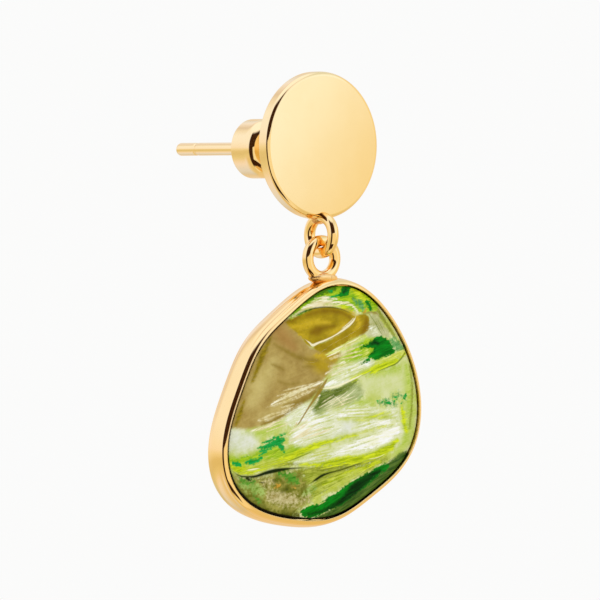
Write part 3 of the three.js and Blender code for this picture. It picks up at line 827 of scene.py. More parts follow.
         [(1.8, -9.9, 0.12), (2.5, -10.2, 0.22), (3.1, -10.6, 0.12)],
         [(0.3, -11.0, 0.03), (1.1, -11.1, 0.07), (1.8, -11.3, 0.07)]]},
    {"ink": "streaks", "dark": "#D6C880", "light": "#FFFBE0", "soft": 0.07, "ragged": 0.1, "brushed": 0.35,
     "strokes": [
         [(-5.6, -17.9, 0.02), (-4.6, -17.45, 0.07), (-3.9, -17.22, 0.09), (-3.2, -17.02, 0.1),
          (-2.4, -16.8, 0.1), (-1.6, -16.55, 0.08), (-0.9, -16.3, 0.04)],
         [(-7.6, -19.75, 0.02), (-6.8, -19.65, 0.05), (-6.0, -19.42, 0.06), (-5.2, -19.12, 0.05),
          (-4.4, -18.8, 0.03)],
         [(-3.7, -11.78, 0.03), (-3.0, -11.42, 0.07), (-2.2, -11.05, 0.14), (-1.5, -10.86, 0.2),
          (-0.8, -10.76, 0.18), (0.0, -10.78, 0.12), (0.8, -10.8, 0.09), (1.5, -10.87, 0.09),
          (2.0, -11.1, 0.07), (2.4, -11.5, 0.04)],
         [(-1.6, -10.5, 0.04), (-0.6, -10.45, 0.1), (0.4, -10.55, 0.04)],
         [(-0.6, -15.75, 0.03), (0.2, -15.48, 0.06), (1.0, -15.22, 0.08), (1.8, -15.0, 0.04)],
         [(-0.3, -15.3, 0.02), (0.4, -15.12, 0.05), (1.2, -14.93, 0.03)],
         [(-0.5, -16.1, 0.03), (0.4, -15.75, 0.06), (1.1, -15.5, 0.04)],
         [(-2.0, -18.35, 0.02), (-1.5, -17.8, 0.06), (-1.15, -17.3, 0.03)],
         [(-6.3, -23.3, 0.1), (-5.8, -23.2, 0.12), (-5.3, -23.35, 0.06)],
         [(-4.2, -20.1, 0.02), (-3.6, -19.7, 0.05), (-3.0, -19.2, 0.03)]]},
    {"ink": "reeds", "dark": "#AEBC34", "light": "#D0D86C", "soft": 0.07, "ragged": 0.1, "brushed": 0.2,
     "fans": [
         {"from": (-0.6, -15.5, 2.6, -14.8), "to": (-0.9, -16.65, 3.8, -15.35), "count": 6, "half": 0.03},
         {"from": (-1.2, -18.45, 4.5, -18.1), "to": (-0.9, -19.0, 5.5, -18.8), "count": 4, "half": 0.035},
         {"from": (-3.8, -19.5, 0.5, -18.5), "to": (-3.5, -20.7, 1.6, -19.6), "count": 4, "half": 0.03},
         {"from": (-1.0, -20.3, 5.6, -18.9), "to": (0.2, -21.4, 6.2, -19.9), "count": 4, "half": 0.03},
         {"from": (-3.4, -21.8, 0.6, -20.9), "to": (-3.0, -22.05, 1.0, -21.6), "count": 4, "half": 0.05},
         {"from": (-8.3, -22.1, -4.6, -21.2), "to": (-8.8, -22.7, -3.8, -21.9), "count": 7, "half": 0.04},
         {"from": (-1.6, -23.6, 3.8, -22.0), "to": (-2.2, -24.9, 2.6, -22.9), "count": 8, "half": 0.04}]},
    {"ink": "hairs", "dark": "#D2C070", "light": "#FAF2CC", "soft": 0.06, "ragged": 0.08, "brushed": 0.15,
     "fans": [
         {"from": (-5.0, -17.0, -0.9, -16.3), "to": (-6.5, -18.4, -1.3, -16.9), "count": 12, "half": 0.03},
         {"from": (-5.2, -18.2, -3.2, -17.8), "to": (-7.4, -19.2, -4.0, -18.4), "count": 6, "half": 0.03},
         {"from": (-7.6, -19.2, -4.8, -18.7), "to": (-7.0, -20.0, -3.9, -19.2), "count": 6, "half": 0.035},
         {"from": (-1.9, -18.3, 1.3, -16.75), "to": (-0.6, -18.4, 3.0, -17.3), "count": 7, "half": 0.02},
         {"from": (-3.4, -11.45, 0.4, -10.45), "to": (-2.8, -11.25, 1.8, -10.9), "count": 5, "half": 0.05},
         {"from": (-0.4, -14.4, 3.0, -13.1), "to": (-0.2, -14.9, 3.0, -14.4), "count": 6, "half": 0.04},
         {"from": (-4.0, -20.1, -2.0, -18.8), "to": (-3.8, -20.6, 0.0, -19.6), "count": 6, "half": 0.045}]},
    {"ink": "pebbly", "dark": "#6C701A", "light": "#AEA850", "soft": 0.3, "ragged": 0.7, "brushed": 0.5,
     "speckled": True,
     "patches": [
         [(-9.5, -22.85), (-8.2, -23.0), (-7.2, -22.95), (-6.0, -22.75), (-4.8, -22.55), (-3.2, -22.55),
          (-2.5, -23.2), (-2.0, -23.9), (-2.2, -24.6), (-3.0, -25.3), (-4.6, -26.4), (-7.4, -26.0),
          (-9.8, -24.4)]]},
    {"ink": "mist", "dark": "#6E9228", "light": "#B0C86A", "soft": 0.25, "ragged": 0.9, "brushed": 0.5,
     "speckled": True,
     "strokes": [
         [(-8.3, -23.5, 0.2), (-7.3, -23.7, 0.4), (-6.5, -24.0, 0.3)],
         [(-2.6, -24.2, 0.15), (-1.8, -23.8, 0.2)]]},
    {"ink": "taupe", "dark": "#A09048", "light": "#D4CA94", "soft": 0.3, "ragged": 0.9, "brushed": 0.4,
     "speckled": True,
     "strokes": [
         [(-6.2, -23.4, 0.2), (-5.6, -23.3, 0.12)],
         [(-5.7, -24.3, 0.3), (-4.6, -24.5, 0.42), (-3.5, -24.6, 0.3)],
         [(-2.8, -24.6, 0.1), (-2.2, -24.5, 0.12)]]},
    {"ink": "bog", "dark": "#3A4402", "light": "#6A6C12", "soft": 0.22, "ragged": 0.7, "brushed": 0.4,
     "speckled": True,
     "strokes": [
         [(-9.0, -23.6, 0.12), (-8.4, -24.3, 0.2), (-7.4, -25.0, 0.28), (-6.0, -25.5, 0.28),
          (-4.6, -25.7, 0.24), (-3.2, -25.65, 0.16)],
         [(-5.3, -23.2, 0.08), (-4.9, -23.1, 0.12), (-4.6, -23.3, 0.06)],
         [(-4.6, -23.9, 0.05), (-4.2, -23.8, 0.08)]]},
    {"ink": "clover", "dark": "#287A0E", "light": "#62A030", "soft": 0.2, "ragged": 0.8, "brushed": 0.5,
     "strokes": [
         [(-4.9, -22.75, 0.12), (-4.2, -22.85, 0.25), (-3.7, -23.1, 0.32), (-3.3, -23.35, 0.16)],
         [(-8.6, -23.1, 0.05), (-7.9, -23.35, 0.16), (-7.2, -23.3, 0.06)],
         [(-7.2, -24.3, 0.05), (-6.7, -24.6, 0.12)]]},
    {"ink": "amber", "dark": "#B98418", "light": "#E6B850", "soft": 0.08, "ragged": 0.4, "brushed": 0.2,
     "strokes": [
         [(-5.3, -23.7, 0.06), (-5.0, -23.58, 0.13), (-4.8, -23.6, 0.06)],
         [(-3.75, -23.7, 0.03), (-3.55, -23.7, 0.06), (-3.4, -23.76, 0.03)],
         [(-3.45, -19.45, 0.03), (-3.3, -19.32, 0.06)],
         [(2.95, -11.52, 0.02), (3.1, -11.35, 0.05), (3.25, -11.2, 0.02)]]},
    {"ink": "jade", "dark": "#088E2C", "light": "#1FAE4C", "soft": 0.06, "ragged": 0.25, "brushed": 0.5,
     "specks": [
         (5.55, -17.95, 0.05), (5.9, -17.4, 0.06), (6.25, -17.3, 0.08), (6.5, -17.75, 0.05),
         (4.2, -17.7, 0.05), (3.6, -17.6, 0.04), (5.8, -17.75, 0.05), (6.0, -17.6, 0.04)],
     "strokes": [
         [(-6.9, -21.02, 0.05), (-6.3, -20.88, 0.13), (-5.6, -20.74, 0.17), (-5.0, -20.64, 0.17)],
         [(-6.5, -20.62, 0.04), (-6.0, -20.5, 0.1), (-5.4, -20.34, 0.13), (-4.8, -20.16, 0.1),
          (-4.2, -19.95, 0.03)],
         [(-5.6, -20.55, 0.1), (-4.95, -20.46, 0.25), (-4.45, -20.42, 0.15)],
         [(-4.95, -20.75, 0.1), (-4.65, -20.92, 0.19), (-4.45, -21.2, 0.07)],
         [(-6.8, -21.25, 0.02), (-6.2, -21.1, 0.06), (-5.6, -20.98, 0.03)],
         [(-9.2, -21.95, 0.07), (-8.8, -22.05, 0.16), (-8.45, -22.15, 0.06)],
         [(-8.0, -21.95, 0.07), (-7.4, -21.9, 0.18), (-6.9, -21.78, 0.12), (-6.5, -21.55, 0.05)],
         [(-6.8, -21.5, 0.03), (-6.4, -21.3, 0.07), (-6.1, -21.2, 0.03)],
         [(4.65, -17.82, 0.06), (5.05, -17.78, 0.12), (5.45, -17.85, 0.08)],
         [(6.6, -17.55, 0.06), (6.8, -17.45, 0.14), (6.85, -17.2, 0.06)],
         [(-0.25, -10.1, 0.05), (-0.05, -10.05, 0.1)],
         [(-0.4, -10.55, 0.02), (0.1, -10.38, 0.06), (0.6, -10.3, 0.08)]]},
    {"ink": "emerald", "dark": "#025E04", "light": "#069018", "soft": 0.05, "ragged": 0.25, "brushed": 0.4,
     "patches": [
         [(2.55, -14.05), (2.9, -13.8), (3.3, -13.65), (3.6, -13.45), (4.0, -13.25), (4.4, -13.15),
          (4.9, -13.2), (5.3, -13.45), (5.5, -13.8), (5.8, -14.15), (5.75, -14.35), (5.3, -14.5),
          (4.8, -14.6), (4.5, -14.7), (4.1, -14.85), (3.7, -14.7), (3.35, -14.6), (3.5, -14.35),
          (3.85, -14.1), (3.5, -13.95), (3.1, -13.95)],
         [(0.6, -10.3), (0.8, -10.0), (0.9, -9.7), (1.5, -9.5), (1.7, -9.8), (1.5, -10.25), (1.1, -10.42)],
         [(-3.0, -25.4), (-2.4, -25.1), (-1.6, -24.95), (-0.9, -24.75), (-0.2, -24.35), (0.6, -24.0),
          (1.3, -23.6), (2.0, -23.25), (2.8, -22.9), (3.6, -22.55), (4.4, -22.25), (5.0, -22.1),
          (5.3, -22.2), (5.0, -22.55), (4.2, -23.0), (3.4, -23.5), (2.6, -23.95), (1.8, -24.45),
          (1.0, -24.9), (0.2, -25.2), (-0.8, -25.5), (-2.2, -25.9)]],
     "strokes": [
         [(2.5, -15.15, 0.03), (2.9, -15.0, 0.06), (3.4, -14.8, 0.11)],
         [(3.2, -10.75, 0.12), (3.45, -11.0, 0.18), (3.6, -11.25, 0.12)]]},
    {"ink": "deep", "dark": "#001E00", "light": "#024406", "soft": 0.16, "ragged": 0.2, "brushed": 0.3,
     "strokes": [
         [(-2.2, -25.6, 0.05), (-1.0, -25.4, 0.1), (0.2, -25.0, 0.16), (1.2, -24.5, 0.26),
          (2.0, -23.9, 0.38), (2.8, -23.4, 0.34), (3.6, -22.95, 0.25), (4.4, -22.6, 0.12)],
         [(3.5, -13.75, 0.06), (3.9, -13.6, 0.16), (4.3, -13.7, 0.1)],
         [(1.05, -10.1, 0.06), (1.25, -9.9, 0.1)]]},
]
# thin lines of x, z and half width
lineInks = [
    # painted shade: dark lines along the underside of the folds
    {"ink": "fold", "colour": "#162600", "soft": 0.1, "cover": 1.0,
     "lines": [
         [(-9.3, -22.5, 0.02), (-8.6, -22.85, 0.06), (-7.8, -22.95, 0.1), (-7.0, -22.9, 0.12),
          (-6.2, -22.7, 0.15), (-5.4, -22.55, 0.17), (-4.6, -22.45, 0.14), (-3.8, -22.38, 0.08),
          (-3.0, -22.35, 0.06), (-2.3, -22.32, 0.04)],
         [(-2.0, -23.4, 0.06), (-1.4, -23.12, 0.12), (-0.9, -22.88, 0.12), (-0.2, -22.7, 0.08),
          (0.6, -22.55, 0.06), (1.4, -22.35, 0.06), (2.2, -22.15, 0.04), (3.0, -22.05, 0.02)],
         [(-8.1, -22.98, 0.04), (-7.75, -23.12, 0.12), (-7.45, -23.25, 0.03)],
         [(-6.8, -23.3, 0.02), (-6.5, -23.36, 0.06), (-6.2, -23.33, 0.02)],
         [(-3.4, -11.72, 0.02), (-2.4, -11.38, 0.05), (-1.2, -11.14, 0.06), (0.0, -11.14, 0.05),
          (1.0, -11.3, 0.04), (1.9, -11.6, 0.02)]]},
    # painted shade: thin darker lines in the creases along the folds
    {"ink": "crease", "colour": "#667C04", "soft": 0.05, "cover": 0.8,
     "lines": [
         [(4.2, -15.62, 0.02), (5.2, -15.32, 0.05), (6.0, -15.05, 0.07), (6.5, -14.65, 0.07),
          (6.85, -14.25, 0.05)],
         [(3.4, -11.55, 0.02), (3.95, -12.15, 0.04), (4.4, -12.75, 0.04), (4.7, -13.1, 0.02)],
         [(4.2, -11.95, 0.02), (4.6, -12.5, 0.03), (4.95, -13.0, 0.02)],
         [(-4.6, -21.95, 0.02), (-3.6, -21.75, 0.05), (-2.6, -21.45, 0.05), (-1.8, -21.2, 0.02)],
         [(-5.7, -21.5, 0.02), (-5.0, -21.1, 0.03), (-4.6, -20.95, 0.02)]]},
    {"ink": "crack", "colour": "#9A7E22", "soft": 0.05, "cover": 0.9,
     "lines": [
         [(-0.3, -15.95, 0.04), (-0.7, -16.45, 0.12), (-1.2, -17.05, 0.15), (-1.7, -17.6, 0.12),
          (-2.1, -18.05, 0.09), (-2.6, -18.65, 0.07), (-3.0, -19.15, 0.06), (-3.4, -19.5, 0.03)]]},
    # partly painted highlights along the fold crests, the V in the honey among them, partly pale fibres
    # crossing the shaded wedge
    {"ink": "thread", "colour": "#FFF8D2", "soft": 0.045, "cover": 0.9,
     "lines": [
         [(-2.55, -13.35, 0.03), (-2.1, -13.6, 0.06), (-1.8, -13.78, 0.1), (-1.3, -13.62, 0.08),
          (-0.6, -13.42, 0.07), (0.2, -13.12, 0.05), (0.9, -12.78, 0.08), (1.6, -12.38, 0.09),
          (2.05, -12.0, 0.07), (2.2, -11.75, 0.03)],
         [(0.9, -12.6, 0.02), (1.5, -12.25, 0.03), (2.0, -11.85, 0.02)],
         [(-0.5, -14.6, 0.03), (0.1, -14.4, 0.06), (0.8, -14.12, 0.03)],
         [(-0.1, -14.22, 0.02), (0.5, -13.98, 0.05), (1.1, -13.8, 0.02)],
         [(1.2, -13.75, 0.02), (1.9, -13.5, 0.04), (2.6, -13.22, 0.02)],
         [(-0.95, -16.8, 0.03), (-0.2, -16.76, 0.07), (0.6, -16.6, 0.07), (1.4, -16.35, 0.07),
          (2.2, -16.07, 0.06), (3.0, -15.77, 0.02)],
         [(-1.1, -18.1, 0.02), (-0.1, -17.62, 0.035), (0.8, -17.25, 0.02)],
         [(-0.2, -17.9, 0.02), (0.6, -17.5, 0.035), (1.5, -16.98, 0.02)],
         [(0.3, -17.35, 0.02), (0.7, -17.68, 0.03), (1.1, -18.0, 0.02)],
         [(0.9, -17.62, 0.02), (1.6, -17.22, 0.035), (2.2, -16.85, 0.02)],
         [(3.4, -21.76, 0.02), (4.2, -21.66, 0.03), (4.9, -21.42, 0.02)],
         [(-7.9, -22.5, 0.02), (-7.3, -22.42, 0.06), (-6.7, -22.36, 0.02)]]},
]
# folds: how far the face stands up along each path; it climbs there from above and drops sharply below
folds = [
    {"rise": 0.05, "path": [(-3.8, -11.8), (-2.0, -11.22), (-1.0, -11.08), (0.0, -11.06), (1.0, -11.2),
                            (2.2, -11.6)]},
    {"rise": 0.04, "path": [(-2.9, -12.95), (-1.8, -13.75), (-0.1, -13.25), (0.9, -12.8), (2.2, -11.8)]},
    {"rise": 0.07, "path": [(-1.3, -16.9), (0.0, -16.74), (1.9, -16.2), (3.9, -15.65), (5.9, -15.0),
                            (7.0, -14.1)]},
    {"rise": 0.03, "path": [(-7.0, -19.3), (-5.0, -18.7), (-3.4, -18.0), (-1.2, -16.9)]},
    {"rise": 0.05, "path": [(-4.6, -21.95), (-2.8, -21.45), (-1.7, -21.1), (-0.2, -20.65), (2.4, -20.15)]},
    {"rise": 0.08, "path": [(-9.2, -22.5), (-8.0, -22.9), (-7.0, -22.85), (-5.1, -22.5), (-3.1, -22.36),
                            (-1.9, -22.3)]},
    {"rise": 0.05, "path": [(-1.8, -23.3), (-0.5, -22.75), (1.4, -22.35), (3.8, -21.95), (5.6, -21.1),
                            (6.3, -20.5)]},
    {"rise": 0.06, "path": [(-3.0, -25.4), (-0.6, -24.6), (1.5, -23.5), (3.5, -22.6), (5.6, -21.8)]},
]
# the grain of the swirls: their slope, by height
grainSlope = {"z": [-25.5, -24.0, -22.2, -20.5, -17.0, -13.5, -11.0],
              "slope": [0.45, 0.42, 0.14, 0.24, 0.36, 0.38, 0.14], "mean": 0.3, "rounds": 14}
# how far an ink's depth is told apart, how lines end, and how a fan's hairs are cut, bowed and thinned
inkSet = {"reach": 1.2, "lineEnds": 10, "fanReach": 0.5, "jitter": 0.12, "startCut": 0.45, "endCut": 0.4,
          "bow": 0.12, "thin": (0.2, 0.9, 1.2, 1.0, 0.2)}


def smoothPath(rows, closed=False, perSpan=4):
    # Catmull-Rom: each span is 0.5 (2b + (c - a) t + (2a - 5b + 4c - d) t^2 + (3b - 3c + d - a) t^3)
    rows = np.array(rows, float)
    ends = (rows[-1:], rows[:2]) if closed else (rows[:1], rows[-1:])
    padded = np.concatenate([ends[0], rows, ends[1]])
    t = np.linspace(0, 1, perSpan, endpoint=False)[None, :, None]
    a, b, c, d = (padded[i:len(padded) - 3 + i, None] for i in range(4))
    square, cube = (2 * a - 5 * b + 4 * c - d) * t ** 2, (3 * b - 3 * c + d - a) * t ** 3
    curve = (0.5 * (2 * b + (c - a) * t + square + cube)).reshape(-1, rows.shape[1])
    return curve if closed else np.concatenate([curve, rows[-1:]])


def nearPath(flat, path, closed=False):
    # for each point: signed distance to the path (positive on its left), third column there, share along it
    starts, ends = (path, np.roll(path, -1, 0)) if closed else (path[:-1], path[1:])
    best = np.full(len(flat), 1e9)
    side, width, along = np.ones(len(flat)), np.zeros(len(flat)), np.zeros(len(flat))
    for i, (start, end) in enumerate(zip(starts, ends)):
        step = end[:2] - start[:2]
        away = flat - start[:2]
        share = np.clip(away @ step / max(step @ step, 1e-12), 0, 1)
        gap = away - share[:, None] * step
        distance = np.hypot(gap[:, 0], gap[:, 1])
        nearer = distance < best
        best[nearer] = distance[nearer]
        side[nearer] = np.where(step[0] * away[nearer, 1] < step[1] * away[nearer, 0], -1.0, 1.0)
        along[nearer] = (i + share[nearer]) / len(starts)
        if path.shape[1] > 2:
            width[nearer] = start[2] + share[nearer] * (end[2] - start[2])
    return best * side, width, along


def insideOutline(flat, outline):
    # even-odd rule: a point is inside when a ray along +x crosses the outline an odd number of times
    inside = np.zeros(len(flat), bool)
    for (x0, z0), (x1, z1) in zip(outline, np.roll(outline, -1, 0)):
        spans = (z0 > flat[:, 1]) != (z1 > flat[:, 1])
        inside ^= spans & (flat[:, 0] < x0 + (flat[:, 1] - z0) * (x1 - x0) / (z1 - z0 or 1e-9))
    return inside


def nearby(flat, path, margin=inkSet["reach"]):
    # the points within a margin of the path's box
    low, high = path[:, :2].min(0) - margin, path[:, :2].max(0) + margin
    return np.flatnonzero(((flat > low) & (flat < high)).all(1))


def fanStrokes(fan, spec):
    # hairs spread from the fan's first line to its last: each start + (end - start) * t + bow * sin(pi t),
    # cut a little shorter at both ends
    first, last = np.reshape(fan["from"], (2, 2)), np.reshape(fan["to"], (2, 2))
    half = fan["half"] * np.array(spec["thin"])[:, None]
    cuts = np.random.default_rng(fan["count"]).random((fan["count"], 4))
    for spread, cut in zip(np.linspace(0, 1, fan["count"]), cuts):
        spread = np.clip(spread + spec["jitter"] * (cut[3] - 0.5), 0, 1)
        start, end = first + (last - first) * spread
        t = np.linspace(spec["startCut"] * cut[0], 1 - spec["endCut"] * cut[1], len(half))[:, None]
        bow = spec["bow"] * (cut[2] - 0.5) * np.sin(np.pi * t)
        yield np.hstack([start + (end - start) * t + bow * np.array([0.0, 1.0]), half])


def inkField(flat, row, spec):
    # depth inside an ink: half width less distance for strokes, distance to the outline for patches
    reach = spec["reach"]
    depth = np.full(len(flat), -reach)
    hairs = [stroke for fan in row.get("fans", []) for stroke in fanStrokes(fan, spec)]
    for strokes, margin in ((row.get("strokes", []), reach), (hairs, spec["fanReach"])):
        for stroke in strokes:
            path = smoothPath(stroke)
            near = nearby(flat, path, margin)
            distance, width, _ = nearPath(flat[near], path)
            depth[near] = np.maximum(depth[near], width - np.abs(distance))
    for x, z, radius in row.get("specks", []):
        depth = np.maximum(depth, radius - np.hypot(flat[:, 0] - x, flat[:, 1] - z))
    for patch in row.get("patches", []):
        outline = smoothPath(patch, closed=True)
        near = nearby(flat, outline)
        distance = np.abs(nearPath(flat[near], outline, closed=True)[0])
        inside = insideOutline(flat[near], outline)
        depth[near] = np.maximum(depth[near], np.where(inside, distance, -distance))
    return np.clip(depth, -reach, reach)


def lineField(flat, row, spec):
    # signed distance to the nearest of some thin lines, and its half width there, fading at the ends
    reach = spec["reach"]
    distance, width = np.full(len(flat), reach), np.zeros(len(flat))
    for line in row["lines"]:
        path = smoothPath(line)
        near = nearby(flat, path)
        there, wide, along = nearPath(flat[near], path)
        wide = wide * np.clip(np.minimum(along, 1 - along) * spec["lineEnds"], 0, 1)
        nearer = np.abs(there) - wide < np.abs(distance[near]) - width[near]
        distance[near[nearer]] = np.clip(there[nearer], -reach, reach)
        width[near[nearer]] = wide[nearer]
    return distance, width


def foldHeight(flat, spec):
    # each fold: rise * exp(-s / reach) above its path and rise * exp(-(s / drop)^2) below, times
    # sin(pi t)^ends from the path's start, t = 0, to its end, t = 1
    height = np.zeros(len(flat))
    for fold in folds:
        s, _, along = nearPath(flat, smoothPath(fold["path"]))
        climb, drop = np.exp(-np.abs(s) / spec["foldReach"]), np.exp(-(s / spec["foldDrop"]) ** 2)
        shape = np.where(s > 0, climb, drop)
        height += fold["rise"] * shape * np.sin(np.pi * np.clip(along, 0, 1)) ** spec["foldEnds"]
    return height


def stoneGrid(spec):
    # rings out over the seat, up the wall and over the band by insets, then drawn in to the centre by share;
    # the band rises by bandRise * sin(bandCurve t), the crown by crownRise * sin(pi t / 2), t from 0 to 1
    girdle = frameShape["width"] + spec["gap"]
    seat = [(girdle + spec["seatInset"], stoneSeatY), (girdle + spec["chamfer"], stoneSeatY)]
    wall = [(girdle, y) for y in np.linspace(stoneSeatY - spec["chamfer"], stoneWallY, spec["wallRings"])]
    t = np.linspace(0, 1, spec["bandRings"] + 1)[1:]
    band = zip(girdle + spec["band"] * t, stoneWallY - spec["bandRise"] * np.sin(t * spec["bandCurve"]))
    rings = pebbleGrid(seat + wall + list(band), spec["sides"])
    rings = np.concatenate([drawnIn(rings[0], spec["seatRings"])[::-1], rings])
    edge = rings[-1]
    t = np.linspace(0, spec["crownTo"], spec["crownRings"] + 1)[1:, None]
    centre = np.array([pebble["x"], pebble["z"]])
    flat = centre + (edge[None, :, [0, 2]] - centre) * (1 - t[..., None])
    y = np.broadcast_to(edge[0, 1] - spec["crownRise"] * np.sin(t * np.pi / 2), flat.shape[:2])
    return np.concatenate([rings, np.stack([flat[..., 0], y, flat[..., 1]], -1)])


def slanted(points, spec):
    # the inks lie at a slant through the resin: a point meets them at (x - slant * (y + slantFrom), z)
    across = points[..., 0] - spec["slant"] * (points[..., 1] + spec["slantFrom"])
    return np.stack([across, points[..., 2]], -1).reshape(-1, 2)


def stoneFlow(flat, spec):
    # across = z - slope(across) * x, found by repeated halving; along = x + mean slope * z
    x, z = flat.T
    across = z - spec["mean"] * x
    for _ in range(spec["rounds"]):
        slope = np.interp(across, spec["z"], spec["slope"])
        across = 0.5 * (across + z - slope * x)
    return np.stack([x + spec["mean"] * z, across], -1)


def rimShadeField(grid, rings, spec):
    # the painted edge shade's width (the dark rim) less the distance in from the edge, in millimetres, for
    # each point of the grid
    x, z = grid[..., 0], grid[..., 2]
    leftward = np.clip(-x / spec["leftOver"], 0, 1)
    rightward = np.clip(x / spec["rightOver"], 0, 1)
    downward = np.clip((spec["downFrom"] - z) / spec["downOver"], 0, 1) * (1 - rightward)
    sideways = spec["rimShadeLeft"] * leftward - spec["rimShadeRight"] * rightward
    wide = spec["rim"] + sideways + spec["rimShadeDown"] * downward
    return (wide - (spec["band"] * rings / spec["bandRings"])[:, None]).ravel()


def setField(mesh, name, values):
    # one number for each vertex, which the stone's shader reads by name
    mesh.attributes.new(name, "FLOAT", "POINT").data.foreach_set("value", values.astype(np.float32))


# the stone's look; noises have scale, detail, roughness, distortion; brush and hair run with the grain
stoneLook = {
    # rim is the colour of the painted shade along the stone's edge where it meets the bezel
    "base": "#C2CE62", "baseLight": "#DEE3A6", "baseFrom": (0.4, 0.6), "rim": "#120D01",
    "cloud": (1.1, 4.0, 0.6), "fine": (5.0, 4.0, 0.6),
    "brush": (1.0, 5.0, 0.65, 0.6), "brushGrain": (0.7, 6.0, 1.0),
    "hair": (1.0, 3.0, 0.7, 0.3), "hairGrain": (1.1, 20.0, 1.0),
    "ragged": 1.7, "brushed": 1.3, "streakyOver": 0.29, "hairCover": 0.85,
    "lineWobble": 0.05, "lineInside": 0.5, "rimShadeWobble": 0.12, "rimShadeFrom": (-0.04, 0.05),
    "hairHeight": 0.000012, "brushHeight": 0.00002, "bump": 0.5, "roughness": 0.2, "roughSpread": 0.2,
    "coat": 0.05, "coatRoughness": 0.03, "ior": 1.4, "specular": 0.04,
}
# tones run from an ink's dark colour to its light one: the weights of the noises, and where the step runs
tones = {
    "streaky": {"weights": {"brush": 0.65, "hair": 0.35}, "from": (0.40, 0.60)},
    "cloudy": {"weights": {"cloud": 0.6, "fine": 0.15, "brush": 0.25}, "from": (0.30, 0.70)},
    "speckly": {"weights": {"fine": 0.3, "brush": 0.25, "cloud": 0.45}, "from": (0.40, 0.60)},
    "hairs": {"weights": {"hair": 0.7, "brush": 0.3}, "from": (0.52, 0.59)},
}


def makeStoneMaterial(spec):
    material, shader = newMaterial("marbledStone")
    metres = shader.add("ShaderNodeTexCoord", out="Object")
    spot = shader.scaled(metres, (1 / mm, 1 / mm, 1 / mm))
    flow = shader.add("ShaderNodeUVMap", {"uv_map": "flow"})
    noises = {
        "cloud": shader.noise(spot, *spec["cloud"]),
        "fine": shader.noise(spot, *spec["fine"]),
        "brush": shader.noise(shader.scaled(flow, spec["brushGrain"]), *spec["brush"]),
        "hair": shader.noise(shader.scaled(flow, spec["hairGrain"]), *spec["hair"]),
    }
    cloud, fine, brush, hair = noises.values()
    toned = {}
    for name, row in tones.items():
        parts = [noises[noise] * weight for noise, weight in row["weights"].items()]
        toned[name] = shader.step(sum(parts[1:], parts[0]), *row["from"])
    paler = shader.step(cloud, *spec["baseFrom"])
    colour = shader.mix(paler, linear(spec["base"]), linear(spec["baseLight"]))
    for row in inks:
        edge = shader.field(row["ink"]) + (fine - 0.5) * (spec["ragged"] * row["ragged"])
        edge = edge + (brush - 0.5) * (spec["brushed"] * row["brushed"])
        mask = shader.step(edge, -row["soft"], row["soft"])
        smooth = "streaky" if row["brushed"] > spec["streakyOver"] else "cloudy"
        tone = toned["speckly" if row.get("speckled") else smooth]
        colour = shader.mix(mask, colour, shader.mix(tone, linear(row["dark"]), linear(row["light"])))
        if "hair" in row:
            colour = shader.mix(toned["hairs"] * mask * spec["hairCover"], colour, linear(row["hair"]))
    for row in lineInks:
        distance, width = (shader.field(row["ink"] + part) for part in ("Distance", "Width"))
        gap = abs(distance + (fine - 0.5) * spec["lineWobble"])
        mask = shader.step(width - gap, -spec["lineInside"] * row["soft"], row["soft"]) * row["cover"]
        colour = shader.mix(mask, colour, linear(row["colour"]))
    # painted shade: a dark rim laid along the stone's edge at the bezel, wider to the left and below
    rim = shader.step(shader.field("rim") + (brush - 0.5) * spec["rimShadeWobble"], *spec["rimShadeFrom"])
    colour = shader.mix(rim, colour, linear(spec["rim"]))
    height = hair * spec["hairHeight"] + brush * spec["brushHeight"]
    bump = {"Strength": spec["bump"], "Distance": 1.0, "Height": height}
    values = {"Base Color": colour, "Roughness": spec["roughness"] + fine * spec["roughSpread"]}
    values.update({"Normal": shader.add("ShaderNodeBump", {}, bump), "Coat Weight": spec["coat"]})
    values.update({"Coat Roughness": spec["coatRoughness"], "IOR": spec["ior"]})
    values["Specular IOR Level"] = spec["specular"]
    shader.surface(values)
    return material


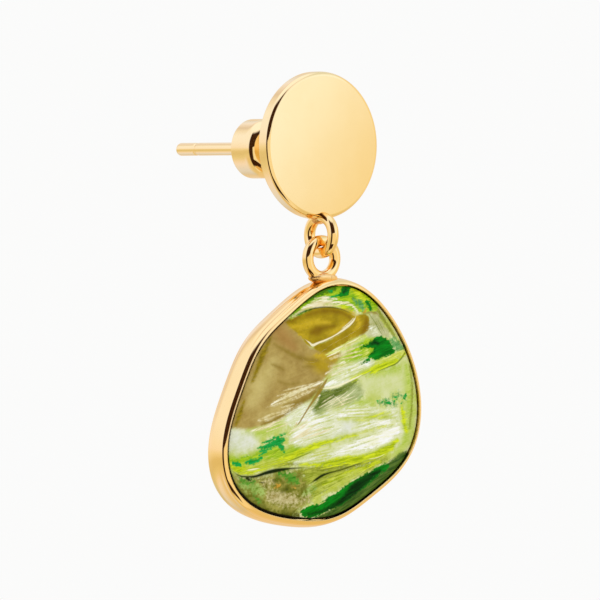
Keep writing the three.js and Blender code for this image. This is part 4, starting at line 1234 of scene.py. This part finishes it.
def makeStone(spec):
    grid = stoneGrid(spec)
    # before the face come the seat's rings, its two outer ones and the wall's; folds fade in over the band
    onFace = spec["seatRings"] + 2 + spec["wallRings"]
    fade = np.zeros(len(grid))
    fade[onFace:] = np.clip(np.arange(len(grid) - onFace) / spec["bandRings"], 0, 1) ** spec["foldFade"]
    rise = foldHeight(slanted(grid, spec), spec).reshape(grid.shape[:2])
    grid[..., 1] -= rise * fade[:, None]
    piece = gridPiece("stonePebble", grid, makeStoneMaterial(stoneLook))
    mesh = piece.data
    points = np.zeros(len(mesh.vertices) * 3, np.float32)
    mesh.vertices.foreach_get("co", points)
    flat = slanted(points.reshape(-1, 3) / mm, spec)
    for row in inks:
        setField(mesh, row["ink"], inkField(flat, row, inkSet))
    # the seat's middle point lies all in the painted rim shade, and the crown's lies clear of it
    rim = rimShadeField(grid, np.arange(len(grid)) - onFace + 1, spec)
    setField(mesh, "rim", np.clip(np.concatenate([rim, [1.0, -1.0]]), -1.0, 1.0))
    for row in lineInks:
        distance, width = lineField(flat, row, inkSet)
        setField(mesh, row["ink"] + "Distance", distance)
        setField(mesh, row["ink"] + "Width", width)
    loops = np.zeros(len(mesh.loops), np.int32)
    mesh.loops.foreach_get("vertex_index", loops)
    layer = mesh.uv_layers.new(name="flow")
    layer.uv.foreach_set("vector", stoneFlow(flat, grainSlope)[loops].astype(np.float32).ravel())
    place(piece, "stone", body="drop", slot="marbled_stone")


# floor: a pale round that fades out far off; nothing mirrors it
floorSet = {"z": -0.045, "radius": 0.42, "hub": 0.001, "sides": 96, "rings": 24,
            "colour": (0.86, 0.855, 0.845, 1.0), "mottle": (0.83, 0.825, 0.815, 1.0), "mottled": 0.3,
            "mottleNoise": (60.0, 3.0, 0.5), "roughness": 0.6, "fade": (0.14, 0.4074)}


def makeFloor(spec):
    # x = r cos a, y = r sin a, level, closed by a fan at its middle; its alpha falls with the distance out
    angle = np.linspace(0, 2 * np.pi, spec["sides"], endpoint=False)[None, :]
    radius = np.linspace(spec["hub"], spec["radius"], spec["rings"])[:, None]
    x, y = radius * np.cos(angle), radius * np.sin(angle)
    grid = np.stack([x, y, np.full_like(x, spec["z"])], -1) / mm
    material, shader = newMaterial("paleFloor")
    spot = shader.add("ShaderNodeTexCoord", out="Object")
    length = shader.add("ShaderNodeVectorMath", {"operation": "LENGTH"}, {0: spot}, out="Value")
    mottle = shader.noise(spot, *spec["mottleNoise"])
    colour = shader.mix(mottle * spec["mottled"], spec["colour"], spec["mottle"])
    values = {"Base Color": colour, "Roughness": spec["roughness"], "Specular IOR Level": 0.0}
    values["Alpha"] = shader.step(length, *spec["fade"], 1.0, 0.0)
    shader.surface(values)
    points = np.concatenate([grid.reshape(-1, 3), [grid[0].mean(0)]])
    faces = wrapFaces(spec["rings"], spec["sides"], False)[:-spec["sides"]]
    piece = finishMesh("floor", points, faces, material)
    piece.visible_glossy = False
    piece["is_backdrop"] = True


makeWorld(studio)
makeFloor(floorSet)
print("studio made")
makeStud()
makeNut()
makeBezel()
print("stud, nut and bezel made")
makeStone(stoneShape)
print("stone made")

boxes = {"cad": cadBox, "visual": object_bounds()}
{name: [list(corner) for corner in box] for name, box in boxes.items()}
